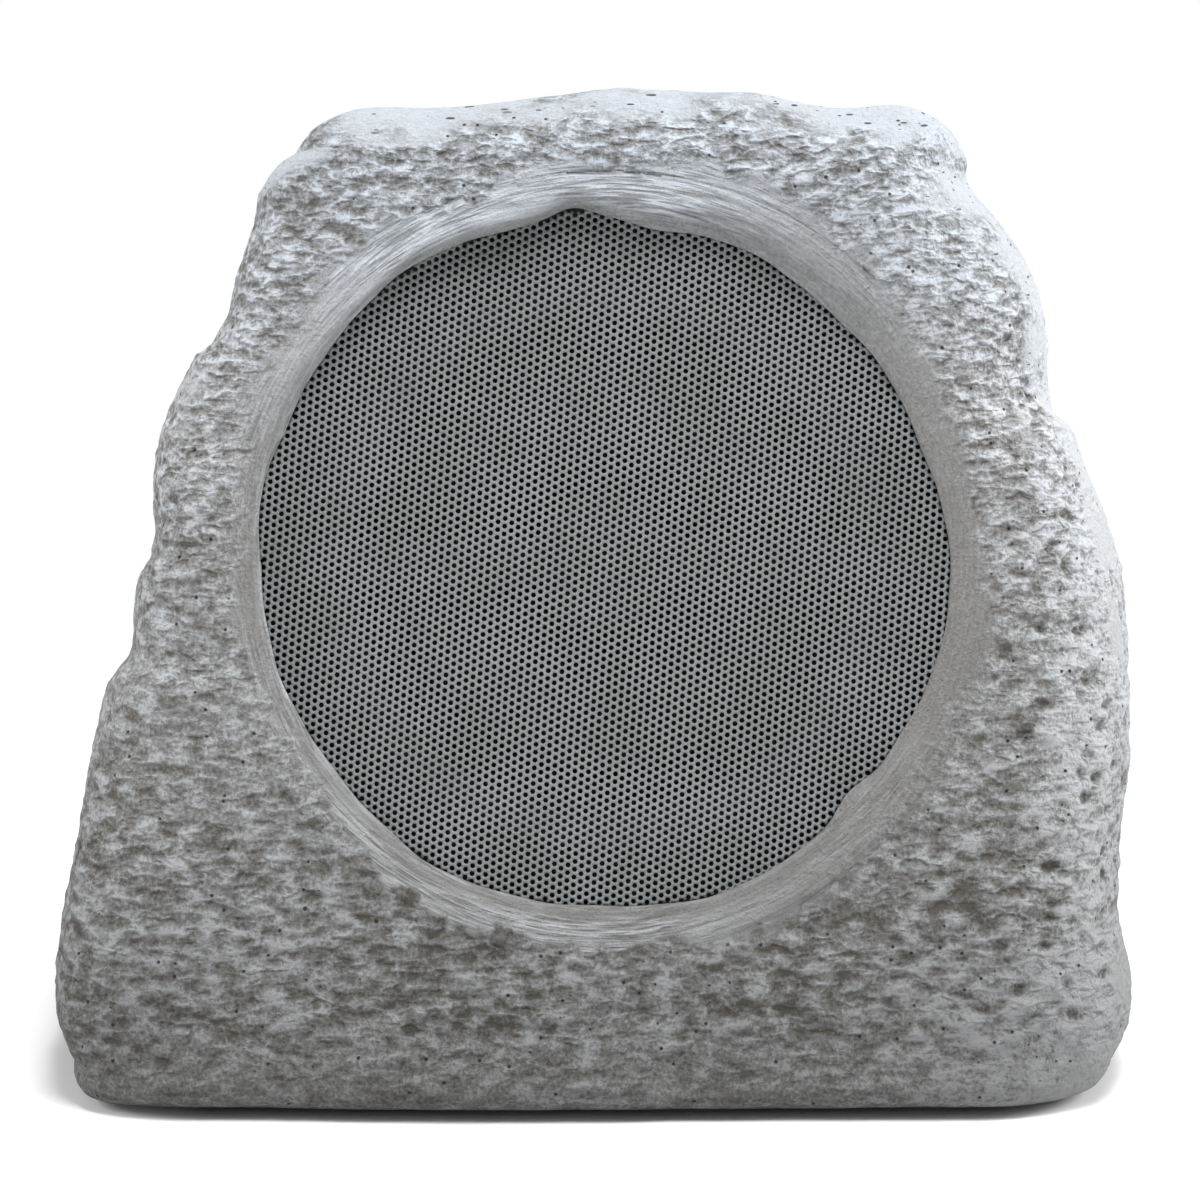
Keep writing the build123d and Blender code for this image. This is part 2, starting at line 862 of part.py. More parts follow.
with BuildPart() as base_screws:
    shank = base_thickness + base_gasket_thickness + screw_bite - hole_clearance
    add_screws(rim_plane(plate_bottom, ledge_inset), base_screws_at, shank, side=-1)
save(base_screws, "base_screws")

# Rubber feet
for foot_name, foot_place in foot_places.items():
    with BuildPart() as foot:
        ground = rim_plane(0, foot_inset)
        foot_top = discs(ground.offset(plate_bottom), [foot_place], foot_radius)
        foot_sink = discs(ground, [foot_place], foot_sink_radius)
        extrude(foot_top, amount=-plate_bottom, taper=foot_taper)
        extrude(foot_sink, amount=foot_sink_depth, mode=Mode.SUBTRACT)
        extrude(discs(ground, [foot_place], hole_radius), amount=plate_bottom, mode=Mode.SUBTRACT)
    save(foot, foot_name)

with BuildPart() as foot_screws:
    shank = plate_bottom - foot_sink_depth + base_thickness + screw_bite - hole_clearance
    add_screws(rim_plane(foot_sink_depth, foot_inset), foot_screws_at, shank, side=-1)
save(foot_screws, "foot_screws")

# Cable gland
with BuildPart() as gland_body:
    extrude(hexagon(gland, gland_flat, gland_bore_radius), amount=gland_flange)
    with BuildSketch(gland.offset(gland_flange + gland_stub)):
        Circle(gland_thread_radius)
        Circle(gland_bore_radius, mode=Mode.SUBTRACT)
    extrude(amount=-gland_flange - gland_stub - gland_wall - gland_lock_thickness - lip)
save(gland_body, "gland_body")

with BuildPart() as gland_nut:
    extrude(hexagon(gland.offset(gland_flange), gland_flat, gland_hole_radius), amount=gland_nut_length)
    with BuildSketch(gland.offset(gland_nut_end)):
        Circle(gland_hole_radius + screw_clearance)
        Circle(cable_radius + edge_clearance, mode=Mode.SUBTRACT)
    extrude(amount=-gland_nut_wall)
save(gland_nut, "gland_nut")

with BuildPart() as gland_seal:
    with BuildSketch(gland.offset(gland_nut_end - gland_nut_wall - screw_clearance)):
        Circle(gland_bore_radius - screw_clearance)
        Circle(cable_radius, mode=Mode.SUBTRACT)
    extrude(amount=-seal_length)
save(gland_seal, "gland_seal")

with BuildPart() as gland_locknut:
    extrude(hexagon(gland.offset(-gland_wall), gland_flat, gland_hole_radius), amount=-gland_lock_thickness)
save(gland_locknut, "gland_locknut")

# Crossover board with its coil and capacitor
with BuildPart() as crossover_board:
    with BuildSketch(Plane.XY.offset(board_bottom)):
        with Locations((board_centre_x, board_centre_y)):
            Rectangle(board_length, board_width)
        with Locations(*board_screws_at):
            Circle(hole_radius, mode=Mode.SUBTRACT)
    extrude(amount=board_thickness)
save(crossover_board, "crossover_board")

coil_x = board_centre_x - inductor_radius - inductor_cheek
coil_axis = Axis((coil_x, board_centre_y, board_top), (0, 0, 1))
coil_section = Plane(origin=(coil_x, board_centre_y, board_top), x_dir=(1, 0, 0), z_dir=(0, -1, 0))
with BuildPart() as inductor_bobbin:
    with BuildSketch(coil_section):
        with BuildLine():
            Polyline(
                (vent_radius, 0),
                (inductor_radius, 0),
                (inductor_radius, inductor_cheek),
                (inductor_core_radius, inductor_cheek),
                (inductor_core_radius, inductor_height - inductor_cheek),
                (inductor_radius, inductor_height - inductor_cheek),
                (inductor_radius, inductor_height),
                (vent_radius, inductor_height),
                close=True,
            )
        make_face()
    revolve(axis=coil_axis)
save(inductor_bobbin, "inductor_bobbin")

with BuildPart() as inductor_winding:
    with BuildSketch(Plane.XY.offset(board_top + inductor_cheek + glue_gap)):
        with Locations((coil_x, board_centre_y)):
            Circle(inductor_radius - inductor_cheek)
            Circle(inductor_core_radius + glue_gap, mode=Mode.SUBTRACT)
    extrude(amount=inductor_height - 2 * inductor_cheek - 2 * glue_gap)
save(inductor_winding, "inductor_winding")

with BuildPart() as crossover_capacitor:
    capacitor_x = board_centre_x + capacitor_radius + inductor_cheek
    capacitor_z = board_top + glue_gap + capacitor_radius
    capacitor_start = (capacitor_x, board_centre_y - capacitor_length / 2, capacitor_z)
    with BuildSketch(Plane(origin=capacitor_start, x_dir=(1, 0, 0), z_dir=(0, 1, 0))):
        Circle(capacitor_radius)
    extrude(amount=capacitor_length)
save(crossover_capacitor, "crossover_capacitor")

with BuildPart() as crossover_screws:
    shank = board_thickness + screw_bite - hole_clearance
    add_screws(Plane.XY.offset(board_top), board_screws_at, shank)
save(crossover_screws, "crossover_screws")

# Leads inside the housing
with BuildPart() as woofer_lead:
    pad = Vector(board_centre_x - board_length / 4, board_centre_y - post_y, board_top)
    lug_spot = seat.from_local_coords(Vector(0, -lug_middle, strip_front - strip_thickness))
    lead_route = [
        pad,
        pad + Vector(0, 0, lead_rise),
        lug_spot - axis_out * lead_approach,
        lug_spot,
    ]
    add_wire(lead_route, lead_bend, woofer_lead_diameter)
save(woofer_lead, "woofer_lead")

with BuildPart() as tweeter_lead:
    lead_level = bridge_back - tweeter_lead_diameter / 2
    pad = Vector(board_centre_x + board_length / 4, board_centre_y - post_y, board_top)
    lead_route = [
        seat.from_local_coords(Vector(tweeter_radius + slide_clearance, 0, lead_level)),
        seat.from_local_coords(Vector(lead_hole, 0, lead_level)),
        seat.from_local_coords(Vector(lead_hole, 0, pan_back - lead_approach)),
        pad + Vector(0, 0, lead_rise),
        pad,
    ]
    add_wire(lead_route, [tinsel_bend * 2, lead_bend, lead_bend], tweeter_lead_diameter)
save(tweeter_lead, "tweeter_lead")
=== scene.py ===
"""Looks of a rock shaped garden speaker: its cast stone skin, its fine grille, the finish of every other
piece, and a plain studio round it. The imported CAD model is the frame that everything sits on."""

import json
import math

import bpy
import numpy as np
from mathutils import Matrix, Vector


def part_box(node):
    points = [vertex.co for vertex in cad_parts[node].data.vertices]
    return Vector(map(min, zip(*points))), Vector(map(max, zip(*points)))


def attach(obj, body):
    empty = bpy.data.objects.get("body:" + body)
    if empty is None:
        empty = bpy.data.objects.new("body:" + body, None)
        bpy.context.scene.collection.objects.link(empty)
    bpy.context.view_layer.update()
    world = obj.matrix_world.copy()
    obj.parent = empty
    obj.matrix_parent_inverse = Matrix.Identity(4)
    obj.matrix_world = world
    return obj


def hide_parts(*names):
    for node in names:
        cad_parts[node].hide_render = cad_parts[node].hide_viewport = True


bl_info = {
    "name": "Rock Garden Speaker",
    "version": (1, 0, 0),
    "blender": (4, 5, 0),
    "location": "View3D > Sidebar > Speaker",
    "description": "Dresses the packed speaker with its stone skin, its grille and its finishes",
    "category": "Object",
}

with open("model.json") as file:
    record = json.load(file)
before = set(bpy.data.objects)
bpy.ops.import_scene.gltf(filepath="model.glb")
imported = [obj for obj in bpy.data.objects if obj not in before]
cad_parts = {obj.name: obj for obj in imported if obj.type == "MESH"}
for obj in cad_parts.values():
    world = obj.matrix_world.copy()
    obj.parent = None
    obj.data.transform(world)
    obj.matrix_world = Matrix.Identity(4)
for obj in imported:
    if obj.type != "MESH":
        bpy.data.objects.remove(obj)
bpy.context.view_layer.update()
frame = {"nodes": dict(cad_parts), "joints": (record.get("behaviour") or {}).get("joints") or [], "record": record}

# Directions of the speaker: out of the grille, to the right across it and up along it
axis_out = np.array(frame["joints"][0]["axis"])
across = np.array([1.0, 0.0, 0.0])
upward = np.cross(axis_out, across)
grille_low, grille_high = (np.array(corner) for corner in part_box("grille"))
millimetre = 0.001
sheet_thickness = 1.0 * millimetre
seat = (grille_low + grille_high) / 2 + axis_out * sheet_thickness / 2

# Pocket round the cable gland in the back of the rock: its axis, its floor along y, and its radius
gland_axis = np.array(next(mount for mount in frame["record"]["mounts"] if mount["kind"] == "bore")["pos_m"])
pocket_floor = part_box("gland_nut")[0].y - 6 * millimetre
pocket_radius = 19.86 * millimetre

# Marks of the trowel round the grille: angle and spread in degrees, and reach in millimetres. They shape the
# lip, the band's outer edge, the slope up from the lip, the band's soft border and the stone laid on the band
lip_cuts = [
    (126, 13, 2.6), (95, 4, 3.0), (81, 7, -2.0), (47, 17, -2.2), (20, 14, -1.5), (-9, 12, 0.8),
    (-44, 5, -2.5), (-69, 14, 2.0), (-119, 7, 1.6), (-149, 20, -1.0), (168, 7, 1.5),
]
band_cuts = [
    (62, 26, 8.0), (132, 20, 3.0), (0, 17, -1.5), (-52, 23, 3.5), (-98, 12, 2.0), (-150, 30, -3.0),
    (180, 24, -4.0), (-180, 24, -2.0),
]
slope_cuts = [
    (31, 28, 5.0), (105, 22, -5.0), (140, 22, -6.0), (180, 30, 3.0), (-180, 30, 3.0), (-140, 25, -2.5),
]
border_cuts = [(-45, 25, 4.0), (170, 30, 2.0), (-112, 30, -2.5)]
laid_stone = [(-112, 32, 1.7), (85, 30, 0.9)]

# Painted highlight on the lip's edge, and pale paint on the band: angle and spread in degrees, and share of pale
# colour
lip_highlight = [(-138, 46, 1.1), (150, 30, 0.5), (-60, 20, 0.4)]
pale_band = [(118, 38, 0.85), (78, 22, 0.5), (-98, 40, 1.1), (-150, 25, 0.35)]

# Hollows in the plain form of the rock, in millimetres: their place right of and above the grille's middle,
# both spreads, and depth
hollows = [
    (-52, 134, 33, 16, 5.7), (71, 134, 20, 16, 6.0), (-100, 101, 17, 13, 4.8), (106, 113, 12, 10, 2.8),
    (150, -45, 32, 75, 2.6), (-150, -64, 20, 22, 2.0), (-160, -152, 24, 20, 6.0),
]

# Ledges on the flanks, in millimetres: where each begins across the rock and where it is full, its level above
# the grille's middle, the width of its step, and the depth and run of the hollow above it
ledges = [
    (-84, -116, -26, 13, 3.5, 26), (-84, -116, 66, 5, 2.6, 22),
    (-108, -126, 5, 7, 1.8, 22), (98, 124, 46, 9, 3.6, 28),
]

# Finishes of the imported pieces: light and dark shade, grains per metre, least roughness, grain depth in metres,
# and 1 for bare metal
finishes = {
    "Black moulding": ((0.030, 0.030, 0.032), (0.016, 0.016, 0.017), 900, 0.5, 0.0002, 0),
    "Basket coat": ((0.045, 0.045, 0.050), (0.025, 0.025, 0.028), 1400, 0.4, 0.0001, 0),
    "Cone": ((0.060, 0.060, 0.062), (0.030, 0.030, 0.032), 260, 0.5, 0.0003, 0),
    "Rubber": ((0.035, 0.035, 0.035), (0.020, 0.020, 0.020), 700, 0.65, 0.0001, 0),
    "Foam": ((0.050, 0.050, 0.050), (0.012, 0.012, 0.012), 2200, 0.75, 0.0004, 0),
    "Spider cloth": ((0.52, 0.36, 0.13), (0.36, 0.23, 0.07), 1600, 0.75, 0.0003, 0),
    "Foil": ((0.72, 0.72, 0.73), (0.60, 0.60, 0.61), 500, 0.25, 0.00005, 1),
    "Copper wire": ((0.72, 0.34, 0.17), (0.48, 0.20, 0.09), 1800, 0.25, 0.0002, 1),
    "Zinc plate": ((0.66, 0.66, 0.63), (0.50, 0.50, 0.47), 420, 0.30, 0.00005, 1),
    "Ferrite": ((0.070, 0.070, 0.075), (0.035, 0.035, 0.038), 1100, 0.5, 0.0002, 0),
    "Laminate": ((0.30, 0.18, 0.08), (0.20, 0.11, 0.05), 300, 0.45, 0.0001, 0),
    "Tinned brass": ((0.78, 0.76, 0.70), (0.62, 0.58, 0.48), 600, 0.25, 0.00005, 1),
    "Base moulding": ((0.040, 0.040, 0.042), (0.020, 0.020, 0.021), 650, 0.55, 0.0004, 0),
    "Foot rubber": ((0.030, 0.030, 0.030), (0.015, 0.015, 0.015), 520, 0.7, 0.0002, 0),
    "Gland nylon": ((0.045, 0.045, 0.047), (0.026, 0.026, 0.027), 1500, 0.35, 0.0001, 0),
    "Gland rubber": ((0.022, 0.022, 0.022), (0.012, 0.012, 0.012), 900, 0.7, 0.0001, 0),
    "Capacitor film": ((0.50, 0.34, 0.06), (0.42, 0.27, 0.04), 200, 0.2, 0.00005, 0),
    "Lead jacket": ((0.030, 0.030, 0.034), (0.018, 0.018, 0.020), 1200, 0.4, 0.0001, 0),
    "Bobbin nylon": ((0.040, 0.040, 0.040), (0.022, 0.022, 0.022), 1000, 0.45, 0.0001, 0),
}

# Lamps of the studio, which point at the grille: place and size in metres, and power in watts
lamps = {
    "key": ((0.25, -0.55, 1.95), 0.7, 36.5),
    "top": ((0.1, 0.35, 1.5), 0.8, 4.0),
    "right": ((1.5, 0.05, 0.8), 0.7, 25.0),
    "left": ((-1.5, -0.3, 0.9), 0.7, 17.0),
}

# Width of the photo, and how far right of and above its middle it shows the middle of the front, in pixels
photo_width = 1200
front_right = 4
front_above = 40


class RockSettings(bpy.types.PropertyGroup):
    """Sizes and colours of the stone skin."""

    spokes: bpy.props.IntProperty(name="Spokes", description="Points round the grille", default=850, min=60)
    rings: bpy.props.IntProperty(
        name="Rings", description="Points from the lip to the foot", default=98, min=20
    )
    lip_radius: bpy.props.FloatProperty(
        name="Lip radius", description="Radius of the grille opening", default=0.099, unit="LENGTH"
    )
    face_rise: bpy.props.FloatProperty(
        name="Face rise", description="Height of the stone front above the grille", default=0.008,
        unit="LENGTH",
    )
    flare: bpy.props.FloatProperty(
        name="Flare", description="Width of the lip's own rings, from its edge to the front", default=0.011,
        unit="LENGTH",
    )
    foot_height: bpy.props.FloatProperty(
        name="Foot height", description="Height where the rim's rounding begins", default=0.010, unit="LENGTH"
    )
    # Painted shade in the hollows of the stone's ripples and dents
    hollow_shade_colour: bpy.props.FloatVectorProperty(
        name="Recess", description="Warm grey in the dents", subtype="COLOR", default=(0.148, 0.139, 0.124)
    )
    middle_colour: bpy.props.FloatVectorProperty(
        name="Middle", description="Grey of the plain stone", subtype="COLOR", default=(0.325, 0.331, 0.336)
    )
    # Painted highlight on the crests of the ripples and on the lip's edge, and the pale paint on the band
    pale_highlight_colour: bpy.props.FloatVectorProperty(
        name="Peak", description="Cool pale grey of the high spots", subtype="COLOR",
        default=(0.58, 0.605, 0.64),
    )
    # Painted highlight on smooth stone that faces up and to the right
    smooth_highlight_colour: bpy.props.FloatVectorProperty(
        name="Pale", description="Smooth pale stone on the top", subtype="COLOR",
        default=(0.50, 0.52, 0.542),
    )
    band_colour: bpy.props.FloatVectorProperty(
        name="Band", description="Trowelled band round the grille", subtype="COLOR",
        default=(0.245, 0.240, 0.232),
    )


class GrilleSettings(bpy.types.PropertyGroup):
    """Sizes and colours of the perforated sheet."""

    pitch: bpy.props.FloatProperty(
        name="Pitch", description="Distance between holes", default=0.00225, unit="LENGTH"
    )
    hole_radius: bpy.props.FloatProperty(
        name="Hole radius", description="Radius of one hole to its corners", default=0.00080, unit="LENGTH"
    )
    turn: bpy.props.FloatProperty(
        name="Turn", description="Turn of the hole rows", default=math.radians(25.8), subtype="ANGLE"
    )
    paint: bpy.props.FloatVectorProperty(
        name="Paint", description="Stone grey paint", subtype="COLOR", default=(0.246, 0.252, 0.256)
    )
    cloud: bpy.props.FloatVectorProperty(
        name="Cloud", description="Darker olive clouds in the paint", subtype="COLOR",
        default=(0.202, 0.211, 0.208),
    )


class StageSettings(bpy.types.PropertyGroup):
    """Camera, lights and floor."""

    distance: bpy.props.FloatProperty(
        name="Distance", description="From the camera to the front", default=1.3, unit="LENGTH"
    )
    elevation: bpy.props.FloatProperty(
        name="Elevation", description="Height of the view", default=math.radians(12), subtype="ANGLE"
    )
    lens: bpy.props.FloatProperty(
        name="Lens", description="Focal length", default=136.5, subtype="DISTANCE_CAMERA"
    )
    floor_colour: bpy.props.FloatVectorProperty(
        name="Floor", description="Pale floor", subtype="COLOR", default=(0.86, 0.86, 0.86)
    )


def unit(vectors):
    """Scales vectors to length one."""
    return vectors / np.linalg.norm(vectors, axis=-1, keepdims=True)


def smooth(low, high, value):
    """Rises from 0 at low to 1 at high along 3t^2 - 2t^3."""
    share = np.clip((value - low) / (high - low), 0, 1)
    return share * share * (3 - 2 * share)


def hashed(cell, seed):
    """Gives each lattice cell a fixed random number from -1 to 1, by mixing the bits of its place."""
    mixed = cell[..., 0] * 73856093 ^ cell[..., 1] * 19349663 ^ cell[..., 2] * 83492791 ^ seed * 2654435761
    mixed = (mixed ^ (mixed >> 15)) * 2246822519 & 0xFFFFFFFF
    mixed = (mixed ^ (mixed >> 13)) * 3266489917 & 0xFFFFFFFF
    return ((mixed ^ (mixed >> 16)) & 0xFFFFFF) / 0x7FFFFF - 1


def noise(points, seed):
    """Gradient noise: a random slope at each lattice corner, blended by 6t^5 - 15t^4 + 10t^3."""
    cell = np.floor(points).astype(np.int64)
    part = points - cell
    fade = part**3 * (part * (part * 6 - 15) + 10)
    total = np.zeros(points.shape[:-1])
    for corner in np.ndindex(2, 2, 2):
        offset = np.array(corner)
        slope = np.stack([hashed(cell + offset, 7 * seed + turn) for turn in range(3)], -1)
        weight = np.where(offset == 1, fade, 1 - fade).prod(-1)
        total += weight * (slope * (part - offset)).sum(-1)
    return 1.7 * total


def nearest_spot(points, seed):
    """Distance to the nearest of random spots, one in each lattice cell."""
    cell = np.floor(points).astype(np.int64)
    nearest = np.full(points.shape[:-1], 9.0)
    for corner in np.ndindex(3, 3, 3):
        beside = cell + np.array(corner) - 1
        spot = np.stack([hashed(beside, 7 * seed + turn) for turn in range(3)], -1) * 0.5 + 0.5
        nearest = np.minimum(nearest, np.linalg.norm(beside + spot - points, axis=-1))
    return nearest


def on_face(radius, angle, rise):
    """Point at a radius and angle about the speaker axis and a rise above the grille's seat."""
    radius, angle, rise = (np.asarray(value)[..., None] for value in (radius, angle, rise))
    return seat + radius * (np.cos(angle) * across + np.sin(angle) * upward) + rise * axis_out


def face_polar(points):
    """Radius, angle and rise of points about the speaker axis."""
    away = points - seat
    right, high = away @ across, away @ upward
    return np.hypot(right, high), np.arctan2(high, right), away @ axis_out


def ring_faces(rings, spokes):
    """Quads of a grid of rings that is closed round its spokes, facing outwards."""
    ring, spoke = np.meshgrid(np.arange(rings - 1), np.arange(spokes), indexing="ij")
    after = (spoke + 1) % spokes
    near, far = ring * spokes, (ring + 1) * spokes
    return np.stack((near + spoke, far + spoke, far + after, near + after), -1).reshape(-1, 4)


def ring_normals(grid):
    """Outward normals of a closed ring grid: the cross product of its slopes along and round."""
    along = np.gradient(grid, axis=0)
    round_about = np.roll(grid, -1, 1) - np.roll(grid, 1, 1)
    return unit(np.cross(along, round_about))


def fill_mesh(name, points, *face_sets):
    """Makes a mesh of points and of face arrays, each with one number of corners."""
    mesh = bpy.data.meshes.new(name)
    corners = np.concatenate([faces.ravel() for faces in face_sets])
    counts = np.concatenate([np.full(len(faces), faces.shape[1]) for faces in face_sets])
    starts = np.concatenate([[0], np.cumsum(counts)[:-1]])
    mesh.vertices.add(len(points))
    mesh.vertices.foreach_set("co", np.ascontiguousarray(points, dtype=np.float32).ravel())
    mesh.loops.add(len(corners))
    mesh.loops.foreach_set("vertex_index", corners.astype(np.int32))
    mesh.polygons.add(len(counts))
    mesh.polygons.foreach_set("loop_start", starts.astype(np.int32))
    mesh.update(calc_edges=True)
    mesh.validate()
    return mesh


def add_piece(name, mesh, body, node):
    """Puts a finished mesh into the scene as the piece that stands for a CAD node."""
    piece = bpy.data.objects.new(name, mesh)
    bpy.context.scene.collection.objects.link(piece)
    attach(piece, body)
    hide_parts(node)
    return piece


def add_attribute(mesh, name, values, kind="FLOAT"):
    """Stores one number or one vector for each point of a mesh."""
    attribute = mesh.attributes.new(name, kind, "POINT")
    attribute.data.foreach_set("value" if kind == "FLOAT" else "vector", values.astype(np.float32).ravel())


def add_node(tree, kind, inputs=None, **settings):
    """Adds a shader node, with its inputs linked to sockets or set to values."""
    made = tree.nodes.new(kind)
    for name, value in settings.items():
        setattr(made, name, value)
    for socket, value in (inputs or {}).items():
        if isinstance(value, bpy.types.NodeSocket):
            tree.links.new(value, made.inputs[socket])
        else:
            made.inputs[socket].default_value = value
    return made


def math_node(tree, operation, first, second=0.0):
    """Adds a Math node and gives its result."""
    return add_node(tree, "ShaderNodeMath", {0: first, 1: second}, operation=operation).outputs[0]


def weighted_sum(tree, start, *terms):
    """Adds values, each times its weight, to a start value."""
    total = start
    for value, weight in terms:
        total = math_node(tree, "ADD", total, math_node(tree, "MULTIPLY", value, weight))
    return total


def range_node(tree, value, low, high, first=0.0, last=1.0):
    """Adds a Map Range node, which runs from first at low to last at high, and gives its result."""
    spans = {"Value": value, "From Min": low, "From Max": high, "To Min": first, "To Max": last}
    return add_node(tree, "ShaderNodeMapRange", spans).outputs[0]


def noise_node(tree, place, scale, detail, **others):
    """Adds a noise texture and gives its value."""
    inputs = {"Vector": place, "Scale": scale, "Detail": detail, **others}
    return add_node(tree, "ShaderNodeTexNoise", inputs).outputs["Fac"]


def spot_nodes(tree, place, scale):
    """Adds random spots and gives the distance to the nearest one and that spot's random number."""
    inputs = {"Vector": place, "Scale": scale, "Randomness": 1.0}
    spots = add_node(tree, "ShaderNodeTexVoronoi", inputs).outputs
    return spots["Distance"], add_node(tree, "ShaderNodeSeparateColor", {0: spots["Color"]}).outputs[0]


def drawn_out(tree, place, counts):
    """Stretches places by a count per metre along each axis."""
    return add_node(tree, "ShaderNodeMapping", {"Vector": place, "Scale": counts}).outputs[0]


def ramp_node(tree, factor, stops):
    """Adds a colour ramp with stops of place and colour, and gives its colour."""
    made = add_node(tree, "ShaderNodeValToRGB", {"Fac": factor})
    ramp = made.color_ramp
    while len(ramp.elements) < len(stops):
        ramp.elements.new(1.0)
    for element, (place, colour) in zip(ramp.elements, stops):
        element.position = place
        element.color = (*colour, 1.0)
    return made.outputs["Color"]


def mix_node(tree, factor, first, second, blend_type="MIX"):
    """Adds a colour mix of two sockets or plain colours and gives its colour."""
    first, second = (
        value if isinstance(value, bpy.types.NodeSocket) else (*value, 1.0) for value in (first, second)
    )
    inputs = {0: factor, 6: first, 7: second}
    return add_node(tree, "ShaderNodeMix", inputs, data_type="RGBA", blend_type=blend_type).outputs[2]


def new_material(name, **constants):
    """Makes a material with a Principled shader and sets its plain values."""
    material = bpy.data.materials.new(name)
    material.use_nodes = True
    shader = material.node_tree.nodes["Principled BSDF"]
    for socket, value in constants.items():
        shader.inputs[socket.replace("_", " ")].default_value = value
    return material, material.node_tree, shader


def feed_shader(tree, shader, colour, roughness, height, depth, strength=1.0):
    """Feeds a Principled shader with a colour, a roughness, and a bump from a height times a depth."""
    bump = add_node(tree, "ShaderNodeBump", {"Height": height, "Distance": depth, "Strength": strength})
    tree.links.new(colour, shader.inputs["Base Color"])
    tree.links.new(roughness, shader.inputs["Roughness"])
    tree.links.new(bump.outputs["Normal"], shader.inputs["Normal"])


def grain_group():
    """Makes the group that gives a moulded or coated surface its grain: mottled colour, roughness, height."""
    tree = bpy.data.node_groups.new("Surface grain", "ShaderNodeTree")
    sockets = {
        "INPUT": {"Light": "Color", "Dark": "Color", "Size": "Float", "Gloss": "Float"},
        "OUTPUT": {"Color": "Color", "Roughness": "Float", "Height": "Float"},
    }
    for side, kinds in sockets.items():
        for name, kind in kinds.items():
            tree.interface.new_socket(name, in_out=side, socket_type="NodeSocket" + kind)
    given = tree.nodes.new("NodeGroupInput").outputs
    place = add_node(tree, "ShaderNodeTexCoord").outputs["Object"]
    fine = noise_node(tree, place, given["Size"], 3.0)
    broad = noise_node(tree, place, 60.0, 2.0)
    colour = mix_node(tree, weighted_sum(tree, 0.0, (fine, 0.6), (broad, 0.4)), given["Dark"], given["Light"])
    rough = weighted_sum(tree, given["Gloss"], (fine, 0.2))
    add_node(tree, "NodeGroupOutput", {"Color": colour, "Roughness": rough, "Height": fine})
    return tree


def grain_material(name):
    """Makes a material of the table of finishes from the surface grain."""
    light, dark, size, gloss, depth, metal = finishes[name]
    group = bpy.data.node_groups.get("Surface grain") or grain_group()
    material, tree, shader = new_material(name, Metallic=metal)
    inputs = {"Light": (*light, 1), "Dark": (*dark, 1), "Size": size, "Gloss": gloss}
    grain = add_node(tree, "ShaderNodeGroup", inputs, node_tree=group).outputs
    feed_shader(tree, shader, grain["Color"], grain["Roughness"], grain["Height"], depth)
    return material


def dress(finish, *nodes):
    """Gives CAD nodes a finish of the table in place of their packed material."""
    material = bpy.data.materials.get(finish) or grain_material(finish)
    for node in nodes:
        slots = frame["nodes"][node].data.materials
        slots.clear()
        slots.append(material)


def cuts_at(angle, cuts):
    """Sum of bells, one for each cut, at angles from -pi to pi."""
    turn = np.degrees(angle)[..., None]
    middle, spread, reach = np.array(cuts).T
    return (reach * np.exp(-(((turn - middle) / spread) ** 2))).sum(-1)


def lip_edge(angle):
    """Radius of the lip: the opening's radius with the trowel's cuts and a small waver."""
    settings = bpy.context.scene.speaker_rock
    waver = 0.25 * np.sin(7 * angle + 2.0) + 0.2 * np.sin(13 * angle) + 0.15 * np.sin(29 * angle + 1.0)
    return settings.lip_radius + (cuts_at(angle, lip_cuts) + waver) * millimetre


def slope_width(angle):
    """Width in millimetres of the slope up from the lip: steep at the top left, wide at the right."""
    return 8.5 + cuts_at(angle, slope_cuts)


def band_edge(angle):
    """Widths in millimetres of the trowelled band round the lip and of its soft border, both wandering."""
    ring = np.stack([np.cos(angle), np.sin(angle), np.zeros_like(angle)], -1)
    wander = 4.0 * noise(3.0 * ring, 11) + 3.5 * noise(9.0 * ring, 12) + 2.0 * noise(23.0 * ring, 13)
    soft = 2.2 + 2.5 * noise(4.0 * ring, 14) + cuts_at(angle, border_cuts)
    return 10.5 + cuts_at(angle, band_cuts) + wander, np.maximum(soft, 0.8)


def guide_directions(starts, middle, samples):
    """Directions from a middle point over the dome of the rock. The dome is spread flat, with the zenith in
    the middle and the foot on the unit circle; each spoke is a straight line there, from its start to the
    circle."""
    ways = unit(starts - middle)
    tilt = np.arccos(ways[:, 2]) / (math.pi / 2)
    flat = tilt[:, None] * unit(ways[:, :2])
    hub = flat.mean(0)
    run = flat - hub
    a, b, c = (run**2).sum(1), 2 * run @ hub, hub @ hub - 1
    reach = (-b + np.sqrt(b * b - 4 * a * c)) / (2 * a)
    share = np.linspace(0, 1, samples)[:, None]
    stretch = 1 + share * (reach - 1)
    spread = hub + stretch[..., None] * run
    far = np.linalg.norm(spread, axis=-1)
    polar = far * math.pi / 2
    level = np.sin(polar) / np.maximum(far, 1e-9)
    return np.concatenate([level[..., None] * spread, np.cos(polar)[..., None]], -1)


def project_on_node(grid, node):
    """Drops a grid that surrounds a CAD node onto its outer skin, along the grid's own normals."""
    mesh = fill_mesh("guide", grid.reshape(-1, 3), ring_faces(*grid.shape[:2]))
    guide = bpy.data.objects.new("guide", mesh)
    bpy.context.scene.collection.objects.link(guide)
    wrap = guide.modifiers.new("Drop", "SHRINKWRAP")
    wrap.target = frame["nodes"][node]
    wrap.wrap_method = "PROJECT"
    wrap.use_negative_direction = True
    wrap.use_positive_direction = False
    bpy.context.view_layer.update()
    dropped = guide.evaluated_get(bpy.context.evaluated_depsgraph_get()).to_mesh()
    points = np.zeros(len(dropped.vertices) * 3, np.float32)
    dropped.vertices.foreach_get("co", points)
    bpy.data.objects.remove(guide)
    bpy.data.meshes.remove(mesh)
    return points.astype(float).reshape(grid.shape)


def from_gland(points):
    """Distance of points from the gland's axis, counted only on the back of the rock."""
    away = np.hypot(points[..., 0] - gland_axis[0], points[..., 2] - gland_axis[2])
    return np.where(points[..., 1] > 0, away, 1.0)


